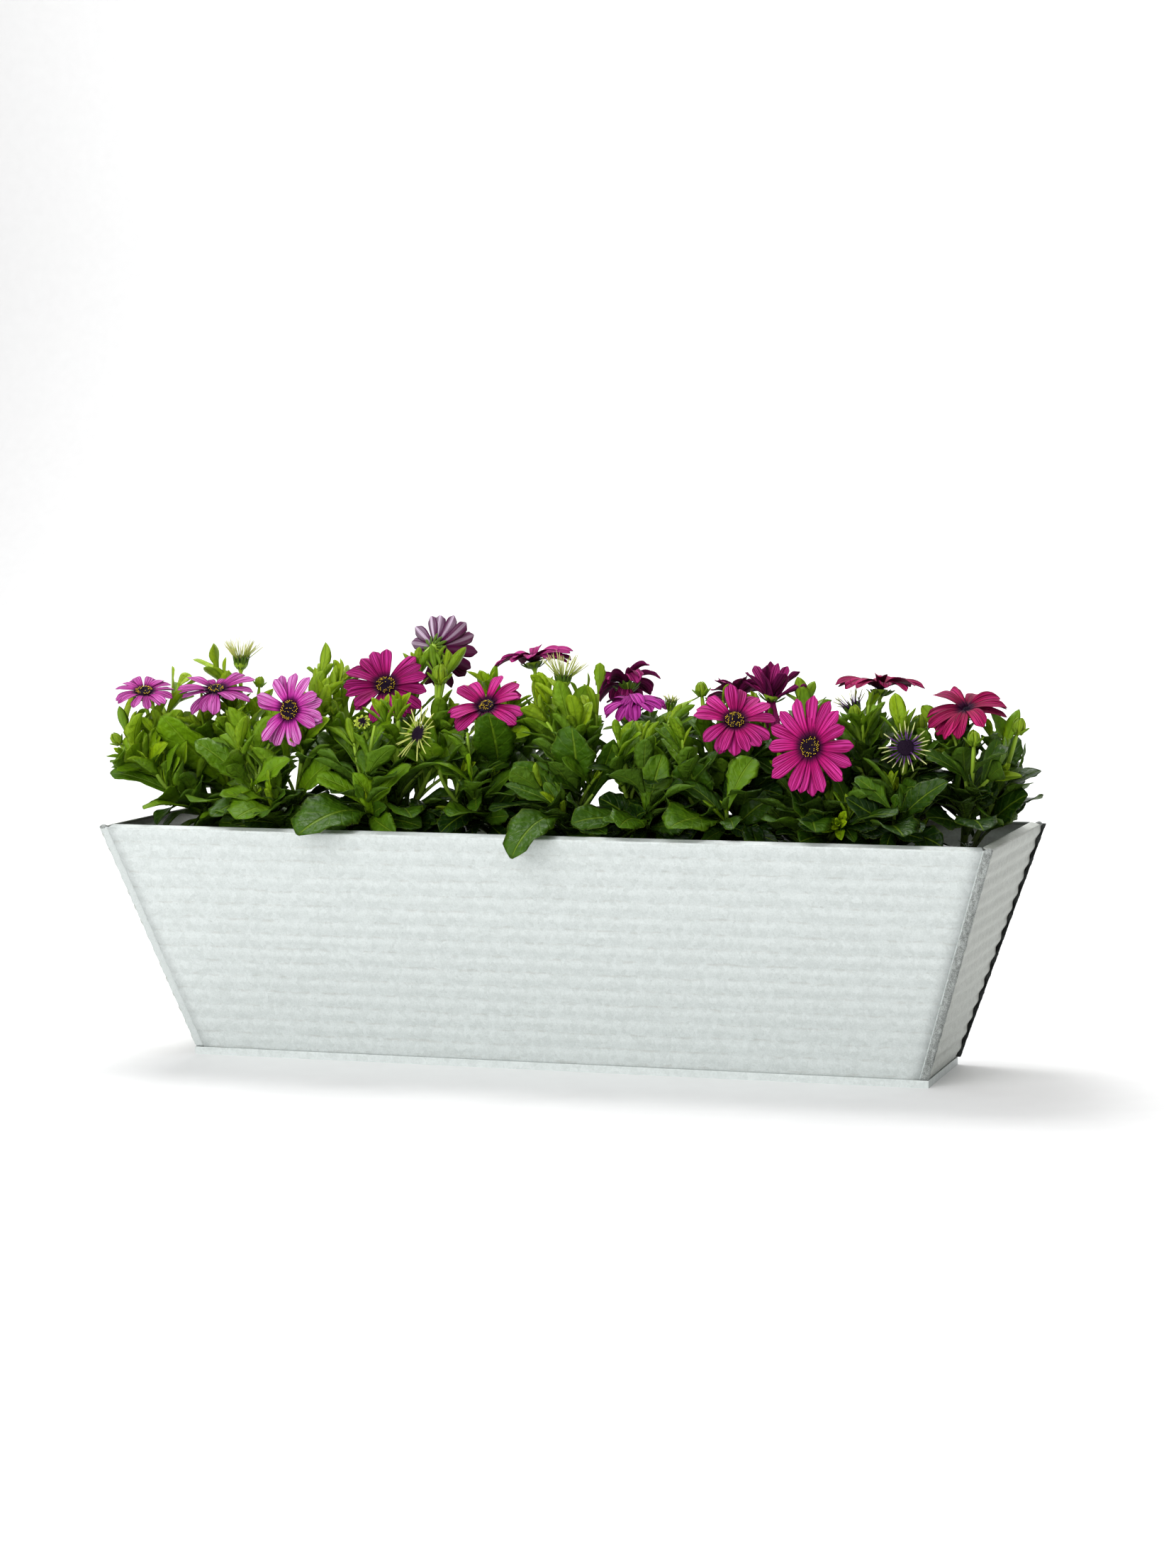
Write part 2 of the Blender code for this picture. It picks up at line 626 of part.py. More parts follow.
def fuse(name, body, repeats, collection, surface):
    """Joins a body bmesh and the bmeshes that grow from it into one closed solid."""
    holder = new_collection(name + "_repeats")
    made = new_object(name, body, collection, surface)
    for i, mesh in enumerate(repeats):
        new_object(f"{name}_repeat_{i}", mesh, holder, None)
    join = made.modifiers.new("join repeats", "BOOLEAN")
    join.operation = "UNION"
    join.operand_type = "COLLECTION"
    join.collection = holder
    join.solver = "EXACT"
    bpy.context.view_layer.update()
    graph = bpy.context.evaluated_depsgraph_get()
    joined = bpy.data.meshes.new_from_object(made.evaluated_get(graph))
    made.modifiers.clear()
    old = made.data
    made.data = joined
    joined.name = name
    smooth(joined)
    bpy.data.meshes.remove(old)
    for part in list(holder.objects):
        bpy.data.objects.remove(part)
    bpy.data.collections.remove(holder)
    return made


def tube(points, radii):
    """A closed, four-sided tube along points, as a bmesh made from a bevelled curve."""
    curve = bpy.data.curves.new("tube", "CURVE")
    curve.dimensions = "3D"
    curve.bevel_depth = 1.0
    curve.bevel_resolution = 0
    curve.use_fill_caps = True
    spline = curve.splines.new("POLY")
    spline.points.add(len(points) - 1)
    for place, point, radius in zip(spline.points, points, radii):
        place.co = (*point, 1)
        place.radius = radius
    holder = bpy.data.objects.new("tube", curve)
    bpy.context.scene.collection.objects.link(holder)
    bpy.context.view_layer.update()
    graph = bpy.context.evaluated_depsgraph_get()
    data = bpy.data.meshes.new_from_object(holder.evaluated_get(graph))
    mesh = bmesh.new()
    mesh.from_mesh(data)
    bmesh.ops.remove_doubles(mesh, verts=mesh.verts, dist=1e-5)
    bmesh.ops.recalc_face_normals(mesh, faces=mesh.faces)
    bpy.data.objects.remove(holder)
    bpy.data.curves.remove(curve)
    bpy.data.meshes.remove(data)
    return mesh


def stand(axis, place):
    """The matrix that puts +Z along axis at place."""
    turn = Matrix((*across_of(axis), unit(axis))).transposed()
    return Matrix.Translation(place) @ turn.to_4x4()


def cone(low, high, depth, segments, axis, centre):
    """A closed cone or cylinder as a bmesh, its axis along axis and a flat side towards each share
    of a turn, as the petals lie."""
    mesh = bmesh.new()
    flat = Matrix.Rotation(-math.pi / 2 - math.pi / segments, 4, "Z")
    bmesh.ops.create_cone(
        mesh,
        cap_ends=True,
        segments=segments,
        radius1=low,
        radius2=high,
        depth=depth,
        matrix=stand(axis, centre) @ flat,
    )
    return mesh


def bud_mesh(shoot):
    """A pointed oval bud."""
    mesh = bmesh.new()
    bmesh.ops.create_uvsphere(mesh, u_segments=6, v_segments=3, radius=0.5)
    for vertex in mesh.verts:
        vertex.co.z = vertex.co.z * 1.25 + 0.12 * max(vertex.co.z, 0)
    bmesh.ops.scale(mesh, vec=(shoot.across,) * 3, verts=mesh.verts)
    centre = Vector(shoot.tip) + unit(shoot.facing) * shoot.across * 0.45
    bmesh.ops.transform(mesh, matrix=stand(shoot.facing, centre), verts=mesh.verts)
    return mesh


def leafy_plant(name, plant, collection):
    """A plant's crown, stems, leaves, buds and the green cups under its heads, as one solid."""
    x, y = plant["crown"]
    body = cone(
        CROWN_RADIUS,
        CROWN_RADIUS * 0.9,
        CROWN_DEPTH + 0.010,
        6,
        UP,
        Vector((x, y, SOIL_TOP + 0.005 - CROWN_DEPTH / 2)),
    )
    grown = []
    for shoot, path in zip(plant["shoots"], plant["paths"]):
        radii = [float(r) for r in np.linspace(STEM_RADIUS, STALK_RADIUS, STEM_STEPS + 1)]
        grown.append(tube(path, radii))
        axis = unit(shoot.facing)
        if shoot.kind in ("bloom", "spent"):
            radius = CORE_RADIUS * (0.7 if shoot.across < SMALL_HEAD else 1)
            cup = cone(STALK_RADIUS, radius * 0.92, CALYX_DEPTH, 6, axis, Vector(shoot.tip))
            grown.append(cup)
        elif shoot.kind == "bud":
            grown.append(bud_mesh(shoot))
    for root, tip, face, width, bend, outline in plant["leaves"]:
        heading = (Vector(tip) - Vector(root)).normalized()
        foot = Vector(root) - heading * 0.0006
        fold = LEAF_FOLD if outline is LARGE_LEAF else 0
        grown.append(blade(foot, tip, face, width, bend, outline, LEAF_THICK, fold))
    return fuse(name, body, grown, collection, green())


def ray_ring(name, shoot, blades, outline, thick, radius, collection, surface):
    """The petals of one head, fused to the flat ring that they grow from."""
    axis = unit(shoot.facing)
    centre = Vector(shoot.tip) + axis * (HEAD_SEAT + CORE_THICK / 2)
    body = cone(radius, radius, CORE_THICK, len(blades), axis, centre)
    petals = [blade(*b, outline, thick) for b in blades]
    return fuse(name, body, petals, collection, surface)


def disc_dome(name, shoot, radius, collection):
    """The eye of a head: a low dome with a knobbed top, for the ring of florets."""
    mesh = bmesh.new()
    rim = DISC_HEIGHT * 0.46
    bmesh.ops.create_cone(mesh, cap_ends=True, segments=8, radius1=radius, radius2=radius * 0.92, depth=rim)
    top = [f for f in mesh.faces if f.normal.z > 0.9]
    bmesh.ops.inset_region(mesh, faces=top, thickness=radius * 0.3, use_even_offset=False)
    middle = max((f for f in mesh.faces if f.normal.z > 0.9), key=lambda f: len(f.verts))
    for vertex in middle.verts:
        knob = round(math.atan2(vertex.co.y, vertex.co.x) * 8 / (2 * math.pi)) % 2
        vertex.co.z += DISC_HEIGHT * (0.5 + 0.15 * knob)
        vertex.co.xy = vertex.co.xy.normalized() * radius * (0.55 + 0.06 * knob)
    bmesh.ops.recalc_face_normals(mesh, faces=mesh.faces)
    axis = unit(shoot.facing)
    foot = Vector(shoot.tip) + axis * (HEAD_SEAT + CORE_THICK + GAP + rim / 2)
    bmesh.ops.transform(mesh, matrix=stand(axis, foot), verts=mesh.verts)
    return new_object(name, mesh, collection, dark_disc())


def wall(name, halves, slope, foot, turn, collection):
    """A ribbed wall with its top edge folded in as a lip, built facing +X and then turned.

    foot is the wall's distance from the middle at the top of the hem. halves are its half-widths
    there, at the rim and at the lip's free edge, which is cut back as a mitre.
    """
    half_low, half_high, half_lip = halves
    flare = math.atan(slope)
    rows = [(0.0, SHEET + GAP)]
    rib_start = HEM_HEIGHT + 0.0015
    pitch = (HEIGHT - rib_start) / RIB_COUNT
    for i in range(RIB_COUNT):
        rows.append((0.0, rib_start + pitch * i))
        rows.append((RIB_DEPTH, rib_start + pitch * (i + 0.5)))
    rows.append((0.0, HEIGHT))
    mesh = bmesh.new()
    lines = []
    for proud, z in rows:
        out = foot + slope * (z - HEM_HEIGHT) + proud
        half = half_low + (half_high - half_low) * (z - HEM_HEIGHT) / (HEIGHT - HEM_HEIGHT)
        lines.append([mesh.verts.new((out, side * half, z)) for side in (-1, 1)])
    out = foot + slope * (HEIGHT - HEM_HEIGHT) - LIP * math.cos(flare)
    z = HEIGHT + LIP * math.sin(flare)
    lines.append([mesh.verts.new((out, side * half_lip, z)) for side in (-1, 1)])
    for a, b in zip(lines, lines[1:]):
        mesh.faces.new((a[0], a[1], b[1], b[0]))
    made = new_object(name, mesh, collection, zinc())
    made.rotation_euler.z = turn
    shell = made.modifiers.new("sheet", "SOLIDIFY")
    shell.thickness = SHEET
    shell.offset = -1
    shell.use_even_offset = True
    return made


def build_box(collection):
    """The base pan, the front and back, and the ends with their seams."""
    base_pan(collection)
    low = BASE_LENGTH / 2 - WALL_FOOT - SEAM_WIDTH
    halves = (low, TOP_LENGTH / 2 - SEAM_WIDTH, TOP_LENGTH / 2 - LIP - MITRE)
    foot = BASE_WIDTH / 2 - WALL_FOOT
    wall("front_panel", halves, FRONT_SLOPE, foot, -math.pi / 2, collection)
    wall("back_panel", halves, FRONT_SLOPE, foot, math.pi / 2, collection)
    for name, turn, sign in (("end_panel_right", 0, 1), ("end_panel_left", math.pi, -1)):
        end_panel(name, turn, sign, collection)


def base_pan(collection):
    """The tray that closes the bottom. Its edge is turned up round the walls as a hem."""
    mesh = bmesh.new()
    bmesh.ops.create_cube(mesh, size=1)
    bmesh.ops.scale(mesh, vec=(BASE_LENGTH, BASE_WIDTH, HEM_HEIGHT), verts=mesh.verts)
    bmesh.ops.translate(mesh, vec=(0, 0, HEM_HEIGHT / 2), verts=mesh.verts)
    top = [f for f in mesh.faces if f.normal.z > 0.9]
    bmesh.ops.inset_region(mesh, faces=top, thickness=SHEET)
    inner = max(mesh.faces, key=lambda f: f.calc_center_median().z + f.normal.z + f.calc_area())
    pushed = bmesh.ops.extrude_discrete_faces(mesh, faces=[inner])
    bmesh.ops.translate(mesh, vec=(0, 0, SHEET - HEM_HEIGHT), verts=pushed["faces"][0].verts)
    new_object("base_pan", mesh, collection, zinc())


def seam_bar(sign_x, sign_y):
    """The folded seam down one corner, over the front or back panel's edge. It is rounded outside."""
    mesh = bmesh.new()
    rings = []
    for z in (HEM_HEIGHT + GAP, HEIGHT + SHEET / 2):
        end = BASE_LENGTH / 2 - WALL_FOOT + END_SLOPE * (z - HEM_HEIGHT)
        face = BASE_WIDTH / 2 - WALL_FOOT + FRONT_SLOPE * (z - HEM_HEIGHT)
        x_in, x_out = end - SEAM_WIDTH + GAP, end + SEAM_PROUD
        y_in, y_out = face - SHEET * 0.9, face + SEAM_PROUD
        cut = SEAM_PROUD + SHEET / 2
        profile = [(x_in, y_in), (x_out, y_in), (x_out, y_out - cut), (x_out - cut, y_out), (x_in, y_out)]
        rings.append([mesh.verts.new((sign_x * x, sign_y * y, z)) for x, y in profile])
    for i in range(5):
        j = (i + 1) % 5
        mesh.faces.new((rings[0][i], rings[0][j], rings[1][j], rings[1][i]))
    mesh.faces.new(rings[0])
    mesh.faces.new(rings[1])
    bmesh.ops.recalc_face_normals(mesh, faces=mesh.faces)
    return mesh


def end_panel(name, turn, sign, collection):
    """An end wall with the folded seams that hold the front and the back to it."""
    foot = BASE_LENGTH / 2 - WALL_FOOT
    low = BASE_WIDTH / 2 - WALL_FOOT - SHEET / 4
    halves = (low, TOP_WIDTH / 2 - SHEET / 4, TOP_WIDTH / 2 - LIP - MITRE)
    sheet = wall(name + "_sheet", halves, END_SLOPE, foot, turn, collection)
    bpy.context.view_layer.update()
    graph = bpy.context.evaluated_depsgraph_get()
    data = bpy.data.meshes.new_from_object(sheet.evaluated_get(graph))
    body = bmesh.new()
    body.from_mesh(data)
    bmesh.ops.transform(body, matrix=sheet.matrix_world, verts=body.verts)
    bpy.data.objects.remove(sheet)
    bpy.data.meshes.remove(data)
    fuse(name, body, [seam_bar(sign, 1), seam_bar(sign, -1)], collection, zinc())


def soil(grown, collection):
    """The soil: a tapered block with a crumbly top, and a plain hole for each crown."""
    low_z = SHEET + GAP
    inset = SHEET + GAP * 2

    def reach(foot, slope, z):
        return foot - inset * math.hypot(1, slope) + slope * (z - HEM_HEIGHT)

    mesh = bmesh.new()
    bmesh.ops.create_grid(mesh, x_segments=12, y_segments=3, size=1)
    pushed = bmesh.ops.extrude_face_region(mesh, geom=list(mesh.faces))
    lowest = {v for v in pushed["geom"] if isinstance(v, bmesh.types.BMVert)}
    for vertex in mesh.verts:
        x, y = vertex.co.x, vertex.co.y
        inner = (1 - abs(x) ** 8) * (1 - abs(y) ** 8)
        bumps = math.sin(x * 23 + y * 3) * math.cos(y * 7 + x * 5) + 0.6 * math.sin(x * 51 + y * 11)
        z = low_z if vertex in lowest else SOIL_TOP + SOIL_RELIEF * 0.55 * inner * bumps
        half_x = reach(BASE_LENGTH / 2 - WALL_FOOT, END_SLOPE, z)
        half_y = reach(BASE_WIDTH / 2 - WALL_FOOT, FRONT_SLOPE, z)
        vertex.co = (x * half_x, y * half_y, z)
    flat = [f for f in mesh.faces if all(v in lowest for v in f.verts)]
    bmesh.ops.dissolve_faces(mesh, faces=flat)
    bmesh.ops.recalc_face_normals(mesh, faces=mesh.faces)
    block = new_object("soil", mesh, collection, earth())
    cutters = new_collection("soil_cutters", hidden=True)
    for name, plant in grown.items():
        x, y = plant["crown"]
        depth = CROWN_DEPTH + 0.020
        centre = Vector((x, y, SOIL_TOP - CROWN_DEPTH - GAP + depth / 2))
        hole = cone(CROWN_RADIUS + CROWN_ROOM, CROWN_RADIUS + CROWN_ROOM, depth, 6, UP, centre)
        cutter = new_object(name + "_hole", hole, cutters, None)
        cutter.display_type = "WIRE"
        cutter.hide_render = True
    cut = block.modifiers.new("crown holes", "BOOLEAN")
    cut.operation = "DIFFERENCE"
    cut.operand_type = "COLLECTION"
    cut.collection = cutters
    cut.solver = "EXACT"


def build_plants(grown, collection):
    number = 0
    spent = 0
    for name, plant in grown.items():
        leafy_plant(name + "_foliage", plant, collection)
        for i, shoot in enumerate(plant["shoots"]):
            if shoot.kind == "bloom":
                number += 1
                blades = plant["blooms"][i]
                ring = f"bloom_{number:02d}_petals"
                surface = petal(shoot.petals.colour)
                ray_ring(ring, shoot, blades, RAY, RAY_THICK, CORE_RADIUS, collection, surface)
                closing = shoot.petals.lift > 45
                eye = DISC_RADIUS * (0.7 if closing else 1)
                disc_dome(f"bloom_{number:02d}_disc", shoot, eye, collection)
            elif shoot.kind == "spent":
                spent += 1
                blades = plant["blooms"][i]
                radius = SMALL_SPENT_CORE if shoot.across < SMALL_HEAD else SPENT_CORE
                ring = f"spent_{spent:02d}_threads"
                ray_ring(ring, shoot, blades, THREAD, THREAD_THICK, radius, collection, pale_thread())
                eye = radius * (0.45 if unit(shoot.facing).z > 0.9 else 0.8)
                disc_dome(f"spent_{spent:02d}_disc", shoot, eye, collection)


def main():
    for old in list(bpy.data.objects):
        bpy.data.objects.remove(old)
    collection = new_collection("osteospermum")
    build_box(collection)
    grown = grow()
    soil(grown, collection)
    build_plants(grown, collection)
    placed = sum(len(plant["leaves"]) for plant in grown.values())
    print("leaves placed:", placed)


main()
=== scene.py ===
# %% [markdown]
# An osteospermum planting in a galvanised window box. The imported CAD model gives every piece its
# place and size. This lesson dresses it: rounded ribs on the sheet zinc, crumbly soil, arched leaves,
# striped petals and the tiny florets of each eye. All the leaves and petals come from one idea, a
# flat blade that Geometry Nodes bends along an arc.

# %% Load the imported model
import math
import random
from collections import namedtuple
from functools import partialmethod

import bmesh
import bpy
import numpy as np
from mathutils import Matrix, Vector, noise as relief
from mathutils.kdtree import KDTree


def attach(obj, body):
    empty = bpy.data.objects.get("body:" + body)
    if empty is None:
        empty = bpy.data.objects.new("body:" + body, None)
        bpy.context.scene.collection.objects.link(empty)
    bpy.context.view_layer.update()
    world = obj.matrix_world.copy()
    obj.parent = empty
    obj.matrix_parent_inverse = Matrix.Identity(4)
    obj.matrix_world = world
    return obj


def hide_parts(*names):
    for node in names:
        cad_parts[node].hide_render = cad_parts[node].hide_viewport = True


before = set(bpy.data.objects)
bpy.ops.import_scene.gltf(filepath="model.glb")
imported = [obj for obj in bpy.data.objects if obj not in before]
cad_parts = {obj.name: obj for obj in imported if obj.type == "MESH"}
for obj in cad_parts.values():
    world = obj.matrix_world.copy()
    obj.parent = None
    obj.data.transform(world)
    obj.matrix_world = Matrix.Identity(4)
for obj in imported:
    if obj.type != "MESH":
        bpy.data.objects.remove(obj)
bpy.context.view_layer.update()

# %% [markdown]
# The sizes are real ones, in metres, and the same as in the CAD source. A shape that both draw from
# the same numbers can't drift away from the solid that carries it in the simulation.

# %% Sizes
# The box, outside sizes
TOP_LENGTH = 0.61
TOP_WIDTH = 0.19
BASE_LENGTH = 0.514
BASE_WIDTH = 0.1
HEIGHT = 0.16
SHEET = 0.0008
HEM_HEIGHT = 0.005
LIP = 0.0065
RIB_COUNT = 15
SEAM_WIDTH = 0.005
SEAM_PROUD = 0.001
GAP = 0.0003
MITRE = 0.0006

# The soil
SOIL_TOP = 0.136
SOIL_RELIEF = 0.0022

# The plants
STEM_RADIUS = 0.0019
STALK_RADIUS = 0.0013
STEM_STEPS = 3
LEAVES_FROM = 0.16
LEAVES_TO = 0.72
LEAF_FOLD = 0.25
RAY_WIDEST = 0.011
RAY_FILL = 0.94
CORE_RADIUS = 0.0062
SPENT_CORE = 0.0048
SMALL_SPENT_CORE = 0.0035
SMALL_HEAD = 0.02
UPRIGHT = 0.9
CORE_THICK = 0.0018
CALYX_DEPTH = 0.006
HEAD_SEAT = CALYX_DEPTH / 2 + GAP
DISC_HEIGHT = 0.003
CLEAR_OTHERS = 0.0038
CLEAR_OWN = 0.002
CLEAR_SOIL = 0.002
CLEAR_WALL = 0.004
CLEAR_RIM = 0.0055
GOLDEN_ANGLE = math.radians(137.5)
SEED = 7

# The planes that the four walls lie in start at the top of the base's hem.
WALL_FOOT = SHEET + GAP
FRONT_SLOPE = (TOP_WIDTH / 2 - (BASE_WIDTH / 2 - WALL_FOOT)) / (HEIGHT - HEM_HEIGHT)
END_SLOPE = (TOP_LENGTH / 2 - (BASE_LENGTH / 2 - WALL_FOOT)) / (HEIGHT - HEM_HEIGHT)

UP = Vector((0, 0, 1))

# A shoot rises from its plant's crown to tip, and ends facing that way. across is the
# diameter of a bloom or head, and leaves is how many leaves it carries in this model.
Shoot = namedtuple("Shoot", "kind tip facing across leaves petals", defaults=(None,))
# A bloom's petals leave the disc at lift degrees and bend back by droop degrees.
Petals = namedtuple("Petals", "count lift droop colour")
# A large leaf that the eye picks out: the shoot that bears it, how far up, its tip, the way its
# upper face looks, its width and how far it bends.
Leaf = namedtuple("Leaf", "shoot rise tip face width bend")


# %% [markdown]
# Ten plants share the box. Each has a crown in the soil, shoots that end in a bloom, a withered head,
# a bud or a tuft of leaves, and a few large leaves that the eye picks out. A table of named records
# is easier to change than code that places each shoot.

# %% The plants
def bloom(tip, facing, across, leaves, count, lift, droop, colour):
    """A shoot with an open flower."""
    return Shoot("bloom", tip, facing, across, leaves, Petals(count, lift, droop, colour))


